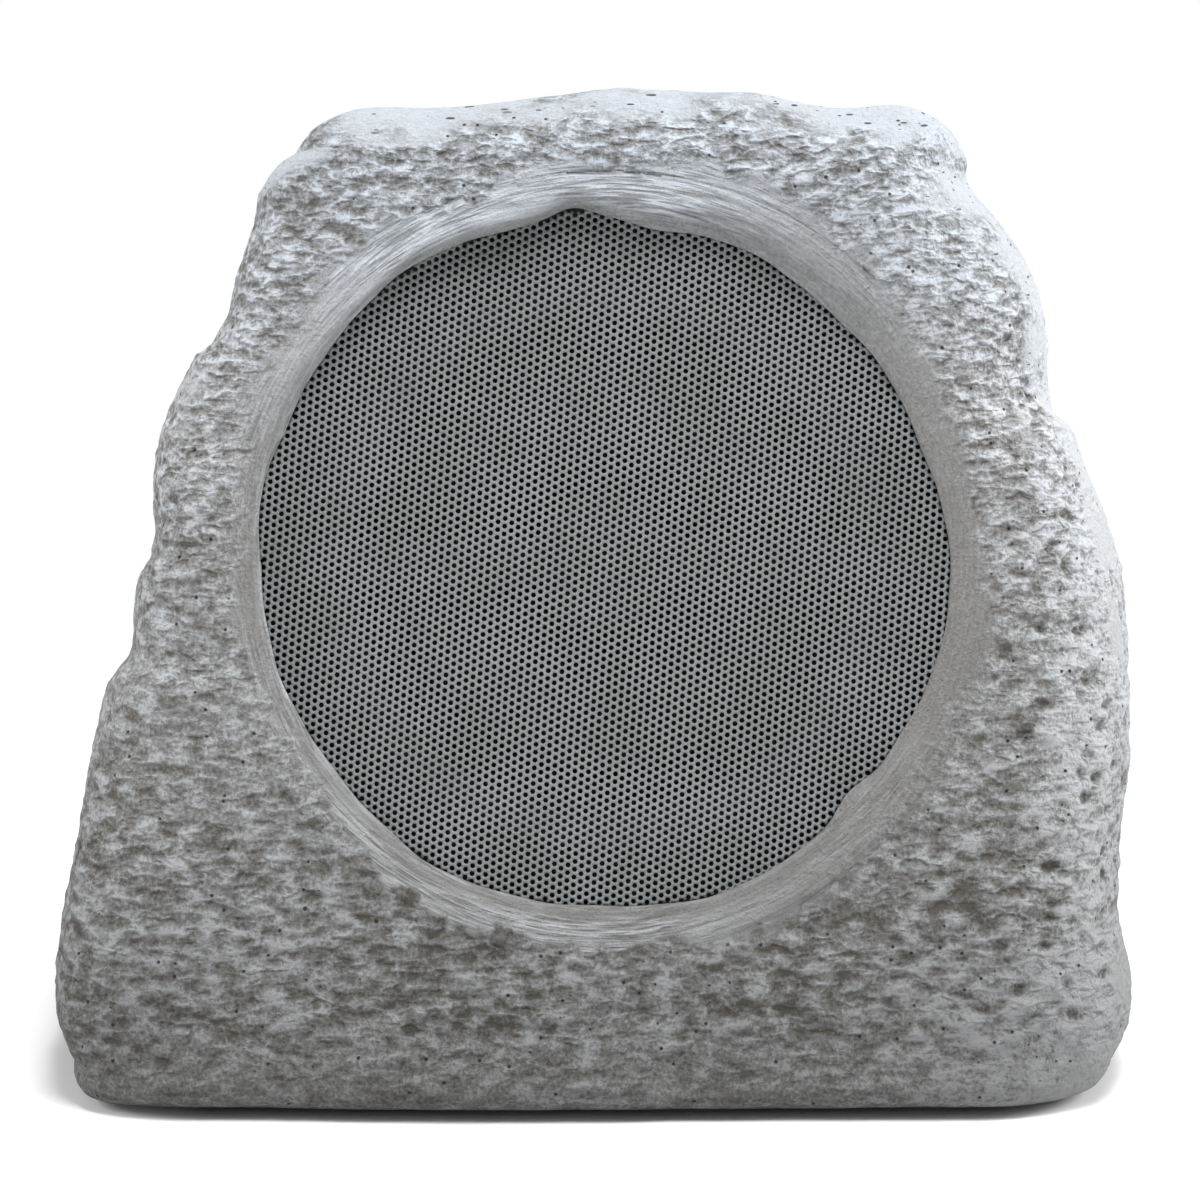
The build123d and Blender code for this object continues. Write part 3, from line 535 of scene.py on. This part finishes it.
def bridge_pocket(grid, ways, middle):
    """Carries the skin straight across the gland's pocket, along each spoke."""
    pocket_depth, margin = 20 * millimetre, 4 * millimetre
    run = (pocket_floor + pocket_depth - middle[1]) / np.maximum(ways[..., 1], 0.1)
    clear = from_gland(middle + ways * run[..., None]) > pocket_radius + margin
    places = np.arange(len(grid))
    bridged = grid.copy()
    for spoke in np.flatnonzero(~clear.all(0)):
        kept = clear[:, spoke]
        for side in range(3):
            bridged[:, spoke, side] = np.interp(places, places[kept], grid[kept, spoke, side])
    return bridged


def sink_pocket(grid):
    """Pulls the skin round the gland into a pocket: a flat floor, a wall, and the skin beyond drawn out."""
    away = from_gland(grid)
    floor_edge, wall_edge, far_edge = 12 * millimetre, 15 * millimetre, 33 * millimetre
    snap = 0.9 * millimetre
    spread = np.where(np.abs(away - floor_edge) < snap, floor_edge, away)
    spread = np.where(np.abs(away - wall_edge) < snap, wall_edge, spread)
    edges = [0, floor_edge, wall_edge, far_edge]
    radius = np.interp(spread, edges, [0, pocket_radius, pocket_radius, far_edge])
    radius = np.where(away < far_edge, radius, away)
    moved = grid.copy()
    scale = radius / np.maximum(away, 1e-9)
    near = away < far_edge
    for side in (0, 2):
        shifted = gland_axis[side] + (grid[..., side] - gland_axis[side]) * scale
        moved[..., side] = np.where(near, shifted, grid[..., side])
    depth = smooth(wall_edge, floor_edge, spread)
    moved[..., 1] = np.where(near, grid[..., 1] * (1 - depth) + pocket_floor * depth, grid[..., 1])
    return moved


def spread_rings(spokes_grid, rings):
    """Places rings along each spoke, close together where the surface faces the view and wider behind."""
    elevation = 0.2
    facing = ring_normals(spokes_grid) @ np.array([0, -math.cos(elevation), math.sin(elevation)])
    steps = np.linalg.norm(np.diff(spokes_grid, axis=0), axis=-1)
    density = 0.22 + 0.78 * smooth(-0.1, 0.3, facing) + 0.5 * smooth(0.06, 0.03, from_gland(spokes_grid))
    weighted = np.cumsum(steps * (density[1:] + density[:-1]) / 2, axis=0)
    weighted = np.concatenate([np.zeros((1, weighted.shape[1])), weighted])
    wanted = np.linspace(0, 1, rings)
    places = np.arange(len(weighted))
    found = np.stack([np.interp(wanted * way[-1], way, places) for way in weighted.T], 1)
    before = np.minimum(found.astype(int), len(weighted) - 2)
    share = (found - before)[..., None]
    spoke = np.arange(weighted.shape[1])
    return spokes_grid[before, spoke] * (1 - share) + spokes_grid[before + 1, spoke] * share


def rock_form():
    """Plain form of the skin as a grid of rings: the lip's slope, the dome down to the foot, and the rim."""
    settings = bpy.context.scene.speaker_rock
    angle = np.linspace(0, 2 * math.pi, settings.spokes, endpoint=False)
    signed = np.where(angle > math.pi, angle - 2 * math.pi, angle)
    edge = lip_edge(signed)
    outer = settings.lip_radius + settings.flare + 2 * millimetre
    lip_rings, guide_rings, guide_reach = 12, 260, 0.5
    wall_rise, low_rise = 0.2 * millimetre, 1.6 * millimetre
    share = np.linspace(0, 1, lip_rings)[:, None]
    slope_radius = edge + (outer - edge) * share
    climbed = np.minimum((slope_radius - edge) / (slope_width(signed) * millimetre), 1)
    slope_rise = low_rise + (settings.face_rise - low_rise) * np.sin(climbed * math.pi / 2)
    round_about = np.broadcast_to(angle, slope_radius.shape)
    wall = on_face(edge[None], angle[None], np.full((1, len(angle)), wall_rise))
    lip = on_face(slope_radius, round_about, slope_rise)
    start = on_face(np.full_like(angle, outer + millimetre), angle, np.full_like(angle, settings.face_rise))
    middle = np.array([0.0, 0.010, settings.foot_height])
    ways = guide_directions(start, middle, guide_rings)
    dropped = bridge_pocket(project_on_node(middle + guide_reach * ways, "rock_shell"), ways, middle)
    dome = spread_rings(dropped, settings.rings)
    foot = dome[-1]
    ahead = np.roll(foot, -1, 0) - np.roll(foot, 1, 0)
    inward = unit(np.stack([-ahead[:, 1], ahead[:, 0], np.zeros(len(ahead))], -1))
    # The rim rounds under the foot and turns up inside: inset and height of each row in millimetres
    rim = [(0.8, 6.4), (2.5, 4.3), (5.0, 2.9), (8.0, 2.1), (13.4, 2.0), (13.4, 10.0)]
    rows = [
        np.where([1, 1, 0], foot + inward * inset * millimetre, height * millimetre) for inset, height in rim
    ]
    return np.concatenate([wall, lip, dome, np.stack(rows)]), len(lip) + 1


def ledge(high, level, width, depth, run):
    """Hollow above a ledge: it sinks over a run down to the ledge's level and comes out again over a width."""
    return -depth * (1 - smooth(0, run, high - level)) * smooth(-width, 0, high - level)


def broad_form(points):
    """Height in millimetres of the rock's broad lumps, less the hollows and the ledges on its flanks."""
    place = points / millimetre
    away = (points - seat) / millimetre
    right, high = away @ across, away @ upward
    wander = 4 * noise(place / 26, 44)
    steps = sum(smooth(begin, full, right) * ledge(high + wander, *sizes) for begin, full, *sizes in ledges)
    side, rise, wide, tall, depth = np.array(hollows).T
    bells = np.exp(-(((right[..., None] - side) / wide) ** 2) - ((high[..., None] - rise) / tall) ** 2)
    lumps = 1.3 * noise(place / 48, 41) + 0.9 * noise(place / 21, 42)
    return lumps + (steps - (depth * bells).sum(-1)) * smooth(60, 10, place[..., 1])


def front_share(rise):
    """1 on the front of the rock, falling to 0 well behind the grille."""
    return smooth(-25, -8, rise / millimetre)


def stone_relief(points, normals):
    """Texture of the stone at points on the form: its height in millimetres, the share of the trowelled band
    and the share of smooth stone, which the material also paints pale as a highlight. The ripples are noise drawn
    out level; dents sit on the right corner."""
    place = points / millimetre
    radius, angle, rise = face_polar(points)
    right = (points - seat) @ across / millimetre
    beyond = (radius - lip_edge(angle)) / millimetre
    width, soft = band_edge(angle)
    tatters = 3.2 * noise(place / 5.0, 15)
    band = (1 - smooth(-soft, soft, beyond - width + tatters)) * front_share(rise)
    warp = np.stack([noise(place / 18, seed) for seed in (21, 22, 23)], -1)
    ripple = noise(place / np.array([8.5, 8.5, 4.4]) + 0.7 * warp, 31)
    spots = nearest_spot(place / np.array([8.0, 8.0, 7.0]) + 0.4 * warp, 51)
    dents = smooth(0.40, 0.16, spots) * smooth(104, 124, right)
    # Stone is worn smooth where it faces up, more so towards both corners, and on the right flank. The material
    # paints this smooth stone pale, a painted highlight where it faces up and to the right
    corner = smooth(30, 95, np.abs(right - 6))
    side = smooth(0.70, 0.95, normals[..., 0]) * smooth(-70, -40, rise / millimetre)
    worn_and_lit = normals[..., 2] + 0.30 * corner + 0.36 * side + 0.30 * noise(place / 14, 71)
    smooth_and_highlit = smooth(0.76, 1.04, worn_and_lit)
    rough = (1 - band) * (1 - 0.9 * smooth_and_highlit) * (0.45 + 0.55 * smooth(8.0, 34.0, place[..., 2]))
    torn = 0.8 * band * (1 - band) * 4 * noise(place / 3.5, 16)
    return rough * (0.8 * ripple - 1.3 * dents) + torn, band, smooth_and_highlit


def pale_and_highlight_share(points, band):
    """Share of pale colour: a painted highlight on the lip's edge, and pale paint on the band away from the lip,
    each at its own angles.
    """
    radius, angle, rise = face_polar(points)
    beyond = (radius - lip_edge(angle)) / millimetre
    on_lip = smooth(2.0, 0.4, beyond) * front_share(rise) * cuts_at(angle, lip_highlight)
    on_band = band * smooth(0.15, 0.8, beyond / slope_width(angle)) * cuts_at(angle, pale_band)
    return np.clip(np.maximum(on_lip, on_band), 0, 1)


def right_side_highlight(points):
    """Share of painted highlight, paler stone on the right flank and on the right corners at the foot and at the
    top.
    """
    right = (points - seat) @ across / millimetre
    rise = face_polar(points)[2]
    low_corner = smooth(60, 120, right) * smooth(0.075, 0.03, points[..., 2])
    top_corner = smooth(35, 85, right) * smooth(0.19, 0.24, points[..., 2])
    corners = smooth(116, 142, right) + 0.8 * low_corner + 0.4 * top_corner
    return corners * smooth(-90, -50, rise / millimetre)


class SPEAKER_OT_rock_skin(bpy.types.Operator):
    """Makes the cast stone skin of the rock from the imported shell"""

    bl_idname = "speaker.rock_skin"
    bl_label = "Rock skin"

    def execute(self, context):
        form, lip_rows = rock_form()
        normals = ring_normals(form)
        relief, band, smooth_and_highlit = stone_relief(form, normals)
        # The relief fades out at the lip, at the rim and round the gland
        rows = np.arange(len(form))[:, None]
        held = smooth(lip_rows - 4, lip_rows + 6, rows) * smooth(len(form) - 2, len(form) - 8, rows)
        held = held * smooth(0.018, 0.028, from_gland(form))
        radius, angle = face_polar(form)[:2]
        laid_on = cuts_at(angle, laid_stone) - 0.5
        height = (relief + broad_form(form) * (1 - 0.7 * band) + laid_on * band) * held
        grid = sink_pocket(form + normals * (height * millimetre)[..., None])
        mesh = fill_mesh("rock_skin", grid.reshape(-1, 3), ring_faces(*grid.shape[:2]))
        mesh.shade_smooth()
        # The strokes' own places run fast across the band and slowly along it
        stroke = np.stack([9 * np.cos(angle), 9 * np.sin(angle), 1.2 * radius / millimetre], -1)
        # The relief share darkens the colour in the hollows and dents as painted shade, and carries a painted
        # highlight on the right flank and corners
        add_attribute(mesh, "relief", relief * held + 1.1 * right_side_highlight(form))
        add_attribute(mesh, "band", band)
        add_attribute(mesh, "smooth_and_highlit", smooth_and_highlit)
        # The pale share is a painted highlight on the lip's edge and pale paint on the band
        add_attribute(mesh, "pale", pale_and_highlight_share(form, band))
        add_attribute(mesh, "stroke", stroke, "FLOAT_VECTOR")
        piece = add_piece("rock_skin", mesh, "housing", "rock_shell")
        piece.data.materials.append(stone_material())
        return {"FINISHED"}


def stone_material():
    """Makes the stone finish: ripples with painted highlights on their crests and painted shade in their hollows,
    strokes in the band, and pinholes painted near-black as the shade inside them.
    """
    settings = bpy.context.scene.speaker_rock
    material, tree, shader = new_material("Cast stone", Specular_IOR_Level=0.2)
    place = add_node(tree, "ShaderNodeTexCoord").outputs["Object"]
    level = add_node(tree, "ShaderNodeSeparateXYZ", {0: place}).outputs["Z"]
    # Heights in metres: where the painted shade by height ends, where nicks begin, and the two ends of the rubbed
    # foot
    height_shade_top, nick_level, foot_low, foot_high = 0.28, 0.2, 0.008, 0.028
    climb = range_node(tree, level, 0.0, height_shade_top)
    relief, band, smooth_and_highlit, pale = (
        add_node(tree, "ShaderNodeAttribute", attribute_name=name).outputs["Fac"]
        for name in ("relief", "band", "smooth_and_highlit", "pale")
    )
    cloud = noise_node(tree, place, 28.0, 3.0)
    specks = math_node(tree, "SUBTRACT", noise_node(tree, place, 850.0, 3.0, Roughness=0.7), 0.5)

    # Ripples drawn out level, larger low on the rock, and flat in the band, on smooth stone and at the foot
    large, small = (
        noise_node(tree, drawn_out(tree, place, counts), 1.0, 1.5, Roughness=0.45, Distortion=0.3)
        for counts in ((178.0, 178.0, 375.0), (215.0, 215.0, 450.0))
    )
    finer = range_node(tree, climb, 0.25, 0.6)
    ripple = add_node(tree, "ShaderNodeMix", {0: finer, 2: large, 3: small}).outputs[0]
    plain = math_node(tree, "MAXIMUM", band, math_node(tree, "MULTIPLY", smooth_and_highlit, 0.85))
    rough = weighted_sum(tree, 1.0, (plain, -0.85))
    rough = math_node(tree, "MULTIPLY", rough, range_node(tree, level, foot_low, foot_high, 0.5))
    waves = math_node(tree, "MULTIPLY", math_node(tree, "SUBTRACT", ripple, 0.5), rough)

    # Strokes of the trowel in the band, strongest where it is pale
    along = add_node(tree, "ShaderNodeAttribute", attribute_name="stroke").outputs["Vector"]
    stroke = noise_node(tree, along, 1.0, 2.0, Distortion=0.6)
    strokes = math_node(tree, "MULTIPLY", math_node(tree, "SUBTRACT", stroke, 0.5), band)
    strokes = math_node(tree, "MULTIPLY", strokes, range_node(tree, cloud, 0.42, 0.58, 0.45))
    strokes = math_node(tree, "MULTIPLY", strokes, math_node(tree, "ADD", pale, 0.35))

    # Colour: painted highlight on the crests and painted shade in the hollows, then smooth stone painted pale as a
    # highlight, the band, the lip's painted highlight and the band's pale paint, strokes, and painted shade by
    # height that darkens and warms the stone towards the foot, with a cool tone at the top
    uneven = math_node(tree, "SUBTRACT", cloud, 0.5)
    shade = weighted_sum(tree, 0.5, (waves, 1.2), (relief, 0.2), (specks, 1.0), (uneven, 0.25))
    colour = ramp_node(tree, shade, [
        (0.22, settings.hollow_shade_colour), (0.5, settings.middle_colour), (0.74, settings.pale_highlight_colour)
    ])
    for share, weight, covering in (
        (smooth_and_highlit, 0.8, settings.smooth_highlight_colour),
        (band, 0.65, settings.band_colour),
        (pale, 0.75, settings.pale_highlight_colour),
    ):
        colour = mix_node(tree, math_node(tree, "MULTIPLY", share, weight), colour, covering)
    brushed = ramp_node(tree, weighted_sum(tree, 0.5, (strokes, 2.4)), [
        (0.2, (0.62, 0.61, 0.59)), (0.8, (1.35, 1.36, 1.38))
    ])
    # Painted shade by height: darker and warmer towards the foot, with a cool tone at the top
    height_shade = ramp_node(tree, climb, [
        (0.0, (0.41, 0.40, 0.378)), (0.36, (0.765, 0.755, 0.735)),
        (0.7, (0.99, 0.99, 0.99)), (1.0, (0.91, 0.94, 0.98)),
    ])
    for factor in (brushed, height_shade):
        colour = mix_node(tree, 1.0, colour, factor, "MULTIPLY")

    # Pinholes where the clouds are thick, and short nicks on smooth stone near the top, none in the band; both are
    # painted near-black as the shade inside them
    away, chosen = spot_nodes(tree, place, 210.0)
    needed = weighted_sum(tree, 1.42, (cloud, -1.9))
    hole = range_node(tree, away, 0.085, 0.13, 1.0, 0.0)
    hole = math_node(tree, "MULTIPLY", hole, math_node(tree, "GREATER_THAN", chosen, needed))
    away, chosen = spot_nodes(tree, drawn_out(tree, place, (190.0, 190.0, 950.0)), 1.0)
    size = math_node(tree, "MULTIPLY", math_node(tree, "SUBTRACT", chosen, 0.5), 0.65)
    nick = math_node(tree, "MULTIPLY", math_node(tree, "LESS_THAN", away, size), smooth_and_highlit)
    nick = math_node(tree, "MULTIPLY", nick, math_node(tree, "GREATER_THAN", level, nick_level))
    hole = math_node(tree, "MAXIMUM", hole, nick)
    hole = math_node(tree, "MULTIPLY", hole, math_node(tree, "SUBTRACT", 1.0, band))
    colour = mix_node(tree, math_node(tree, "MULTIPLY", hole, 0.9), colour, (0.02, 0.019, 0.018))

    # Height in millimetres, a little stronger low on the rock
    height = weighted_sum(tree, 0.0, (waves, 5.8), (specks, 1.4))
    height = math_node(tree, "MULTIPLY", height, weighted_sum(tree, 1.4, (climb, -0.4)))
    height = weighted_sum(tree, height, (strokes, 2.0), (hole, -0.8))
    feed_shader(tree, shader, colour, weighted_sum(tree, 0.92, (plain, -0.15)), height, millimetre)
    return material


def hole_lattice():
    """Numbers and centres of the holes that show inside the lip, on a lattice of equal triangles."""
    settings = bpy.context.scene.speaker_grille
    outermost = 0.102
    reach = int(0.24 / settings.pitch)
    steps = np.arange(-reach, reach + 1)
    first, second = np.meshgrid(steps, steps, indexing="ij")
    right = settings.pitch * (first + second / 2)
    high = settings.pitch * second * math.sqrt(0.75)
    cosine, sine = math.cos(settings.turn), math.sin(settings.turn)
    centre = np.stack([right * cosine - high * sine, right * sine + high * cosine], -1)
    angle = np.arctan2(centre[..., 1], centre[..., 0])
    limit = np.minimum(lip_edge(angle) + settings.pitch / 2, outermost)
    kept = np.hypot(centre[..., 0], centre[..., 1]) < limit
    number = np.where(kept, np.cumsum(kept).reshape(kept.shape) - 1, -1)
    return number, centre[kept]


def grille_faces(number):
    """Faces of the sheet between six-sided holes: a quad between two neighbours, a triangle between three."""
    inner = number[1:-1, 1:-1]
    ways = [(1, 0), (0, 1), (-1, 1)]
    beside = [number[1 + a:number.shape[0] - 1 + a, 1 + b:number.shape[1] - 1 + b] for a, b in ways]
    quads = []
    for way, other in enumerate(beside):
        joined = (inner >= 0) & (other >= 0)
        own, far = 6 * inner[joined], 6 * other[joined]
        quads.append(np.stack([own + (way - 1) % 6, far + way + 3, far + way + 2, own + way], -1))
    triangles = []
    for way in (0, 1):
        joined = (inner >= 0) & (beside[way] >= 0) & (beside[way + 1] >= 0)
        own, near, far = (6 * found[joined] for found in (inner, beside[way], beside[way + 1]))
        triangles.append(np.stack([own + way, near + way + 2, far + way + 4], -1))
    return np.concatenate(quads), np.concatenate(triangles)


def open_edges(quads, triangles):
    """Directed edges of the sheet that have no face on their other side: the holes and the outer edge."""
    edges = np.concatenate([
        np.stack([faces, np.roll(faces, -1, 1)], -1).reshape(-1, 2) for faces in (quads, triangles)
    ])
    span = edges.max() + 1
    there, back = edges[:, 0] * span + edges[:, 1], edges[:, 1] * span + edges[:, 0]
    return edges[~np.isin(there, back)]


class SPEAKER_OT_grille(bpy.types.Operator):
    """Makes the finely perforated grille sheet"""

    bl_idname = "speaker.grille"
    bl_label = "Grille"

    def execute(self, context):
        settings = context.scene.speaker_grille
        number, centre = hole_lattice()
        turn = settings.turn + np.radians(30 + 60 * np.arange(6))
        corner = settings.hole_radius * np.stack([np.cos(turn), np.sin(turn)], -1)
        flat = (centre[:, None] + corner).reshape(-1, 2)
        front = seat + flat[:, :1] * across + flat[:, 1:] * upward
        back = front - sheet_thickness * axis_out
        quads, triangles = grille_faces(number)
        edges = open_edges(quads, triangles)
        count = len(front)
        walls = np.stack([edges[:, 1], edges[:, 0], edges[:, 0] + count, edges[:, 1] + count], -1)
        quads = np.concatenate([quads, quads[:, ::-1] + count, walls])
        triangles = np.concatenate([triangles, triangles[:, ::-1] + count])
        mesh = fill_mesh("grille_sheet", np.concatenate([front, back]), quads, triangles)
        piece = add_piece("grille_sheet", mesh, "housing", "grille")
        piece.data.materials.append(grille_material())
        return {"FINISHED"}


def grille_material():
    """Makes the grille's stone grey paint with soft clouds and a fine speckle."""
    settings = bpy.context.scene.speaker_grille
    material, tree, shader = new_material("Grille paint", Specular_IOR_Level=0.3)
    place = add_node(tree, "ShaderNodeTexCoord").outputs["Object"]
    cloud = noise_node(tree, place, 38.0, 4.0, Roughness=0.6)
    speck = noise_node(tree, place, 900.0, 2.0)
    colour = ramp_node(tree, cloud, [(0.38, settings.cloud), (0.62, settings.paint)])
    dusted = ramp_node(tree, speck, [(0.3, (0.72, 0.76, 0.80)), (0.7, (1.0, 1.0, 0.97))])
    colour = mix_node(tree, 1.0, colour, dusted, "MULTIPLY")
    feed_shader(tree, shader, colour, weighted_sum(tree, 0.6, (speck, 0.2)), speck, 0.0002, 0.6)
    return material


class SPEAKER_OT_driver(bpy.types.Operator):
    """Finishes the driver, the tweeter and the ring that carries them"""

    bl_idname = "speaker.driver"
    bl_label = "Driver"

    def execute(self, context):
        dress("Black moulding", "baffle_ring", "tweeter_bridge", "tweeter_capsule")
        dress("Basket coat", "basket", "driver_screws")
        dress("Cone", "cone", "dust_cap")
        dress("Rubber", "surround")
        dress("Foam", "grille_gasket", "driver_gasket")
        dress("Spider cloth", "spider")
        dress("Foil", "coil_former")
        dress("Copper wire", "coil_winding", "tinsel_leads")
        dress("Zinc plate", "top_plate", "back_plate", "baffle_screws", "bridge_screws")
        dress("Ferrite", "magnet")
        dress("Laminate", "terminal_strip")
        dress("Tinned brass", "terminal_lugs")
        return {"FINISHED"}


class SPEAKER_OT_base(bpy.types.Operator):
    """Finishes the base plate, its gasket, its screws and the feet"""

    bl_idname = "speaker.base"
    bl_label = "Base and feet"

    def execute(self, context):
        feet = [node for node in frame["nodes"] if node.startswith("foot_") and node != "foot_screws"]
        dress("Base moulding", "base_plate")
        dress("Foam", "base_gasket")
        dress("Foot rubber", *feet)
        dress("Zinc plate", "base_screws", "foot_screws")
        return {"FINISHED"}


class SPEAKER_OT_gland(bpy.types.Operator):
    """Finishes the cable gland on the back"""

    bl_idname = "speaker.gland"
    bl_label = "Cable gland"

    def execute(self, context):
        dress("Gland nylon", "gland_body", "gland_nut", "gland_locknut")
        dress("Gland rubber", "gland_seal")
        return {"FINISHED"}


class SPEAKER_OT_wiring(bpy.types.Operator):
    """Finishes the crossover board, its parts and the leads inside"""

    bl_idname = "speaker.wiring"
    bl_label = "Crossover and leads"

    def execute(self, context):
        dress("Laminate", "crossover_board")
        dress("Copper wire", "inductor_winding")
        dress("Zinc plate", "crossover_screws")
        dress("Bobbin nylon", "inductor_bobbin")
        dress("Capacitor film", "crossover_capacitor")
        dress("Lead jacket", "woofer_lead", "tweeter_lead")
        return {"FINISHED"}


def aim(holder, place, target):
    """Puts a lamp or a camera at a place and points it at a target."""
    holder.location = place
    holder.rotation_euler = (Vector(target) - Vector(place)).to_track_quat("-Z", "Y").to_euler()
    bpy.context.scene.collection.objects.link(holder)


def white_when_seen(tree):
    """Gives 1 for rays of the camera, of gloss and of glass, and 0 for rays that light the object."""
    rays = add_node(tree, "ShaderNodeLightPath").outputs
    seen = math_node(tree, "MAXIMUM", rays["Is Camera Ray"], rays["Is Glossy Ray"])
    return math_node(tree, "MAXIMUM", seen, rays["Is Transmission Ray"])


class SPEAKER_OT_stage(bpy.types.Operator):
    """Sets up the floor, the lamps, the white surroundings and the camera"""

    bl_idname = "speaker.stage"
    bl_label = "Stage"

    def execute(self, context):
        settings = context.scene.speaker_stage
        scene = context.scene
        scene.view_settings.view_transform = "Standard"
        half = 6.0
        corners = np.array([(-half, -half, 0), (half, -half, 0), (half, half, 0), (-half, half, 0)])
        floor = bpy.data.objects.new("floor", fill_mesh("floor", corners, np.array([[0, 1, 2, 3]])))
        scene.collection.objects.link(floor)
        floor.data.materials.append(self.floor_material(settings))
        scene.world = scene.world or bpy.data.worlds.new("Studio")
        self.surround(scene.world)
        for name, (place, size, power) in lamps.items():
            lamp = bpy.data.lights.new(name, "AREA")
            lamp.size = size
            lamp.energy = power
            aim(bpy.data.objects.new(name, lamp), place, seat)
        self.add_camera(scene, settings)
        return {"FINISHED"}

    def floor_material(self, settings):
        """Makes the pale floor: lit by the lamps near the rock, so it keeps the shadow, and plain white farther
        out where it is seen."""
        material, tree, shader = new_material("Floor", Roughness=0.9, Specular_IOR_Level=0.1)
        shader.inputs["Base Color"].default_value = (*settings.floor_colour, 1)
        glow = add_node(tree, "ShaderNodeEmission", {"Color": (1, 1, 1, 1), "Strength": 1.0})
        place = add_node(tree, "ShaderNodeTexCoord").outputs["Object"]
        away = add_node(tree, "ShaderNodeVectorMath", {0: place}, operation="LENGTH").outputs["Value"]
        lit_to, white_from = 0.16, 0.6
        plain = range_node(tree, away, lit_to, white_from)
        share = math_node(tree, "MULTIPLY", white_when_seen(tree), plain)
        mixed = add_node(tree, "ShaderNodeMixShader", {0: share, 1: shader.outputs[0], 2: glow.outputs[0]})
        tree.links.new(mixed.outputs[0], tree.nodes["Material Output"].inputs["Surface"])
        return material

    def surround(self, world):
        """Makes the surroundings white where they are seen and grey where they light the object."""
        world.use_nodes = True
        tree = world.node_tree
        tree.nodes.clear()
        strength = weighted_sum(tree, 0.30, (white_when_seen(tree), 0.70))
        back = add_node(tree, "ShaderNodeBackground", {"Color": (1, 1, 1, 1), "Strength": strength})
        add_node(tree, "ShaderNodeOutputWorld", {"Surface": back.outputs[0]})

    def add_camera(self, scene, settings):
        """Aims the camera at the middle of the front and shifts it to where the photo shows that middle."""
        camera = bpy.data.cameras.new("camera")
        camera.lens = settings.lens
        camera.sensor_width = 36.0
        camera.shift_x = -front_right / photo_width
        camera.shift_y = -front_above / photo_width
        front = Vector(seat + scene.speaker_rock.face_rise * axis_out)
        away = Vector((0, -math.cos(settings.elevation), math.sin(settings.elevation)))
        holder = bpy.data.objects.new("camera", camera)
        aim(holder, front + away * settings.distance, front)
        scene.camera = holder


class SPEAKER_PT_panel(bpy.types.Panel):
    """Lists the steps that dress the speaker"""

    bl_label = "Rock speaker"
    bl_idname = "SPEAKER_PT_panel"
    bl_space_type = "VIEW_3D"
    bl_region_type = "UI"
    bl_category = "Speaker"

    def draw(self, context):
        for operator in operators:
            self.layout.operator(operator.bl_idname)
        for group in groups:
            settings = getattr(context.scene, group)
            for name in settings.__annotations__:
                self.layout.prop(settings, name)


operators = (
    SPEAKER_OT_rock_skin,
    SPEAKER_OT_grille,
    SPEAKER_OT_driver,
    SPEAKER_OT_base,
    SPEAKER_OT_gland,
    SPEAKER_OT_wiring,
    SPEAKER_OT_stage,
)
groups = {"speaker_rock": RockSettings, "speaker_grille": GrilleSettings, "speaker_stage": StageSettings}
classes = (*groups.values(), *operators, SPEAKER_PT_panel)


def register():
    """Registers the settings, the steps and the panel."""
    for found in classes:
        bpy.utils.register_class(found)
    for name, group in groups.items():
        setattr(bpy.types.Scene, name, bpy.props.PointerProperty(type=group))


def unregister():
    """Removes what register added."""
    for name in groups:
        delattr(bpy.types.Scene, name)
    for found in reversed(classes):
        bpy.utils.unregister_class(found)


def main():
    """Dresses the speaker step by step."""
    register()
    bpy.ops.speaker.rock_skin()
    bpy.ops.speaker.grille()
    bpy.ops.speaker.driver()
    bpy.ops.speaker.base()
    bpy.ops.speaker.gland()
    bpy.ops.speaker.wiring()
    bpy.ops.speaker.stage()


if __name__ == "__main__":
    main()
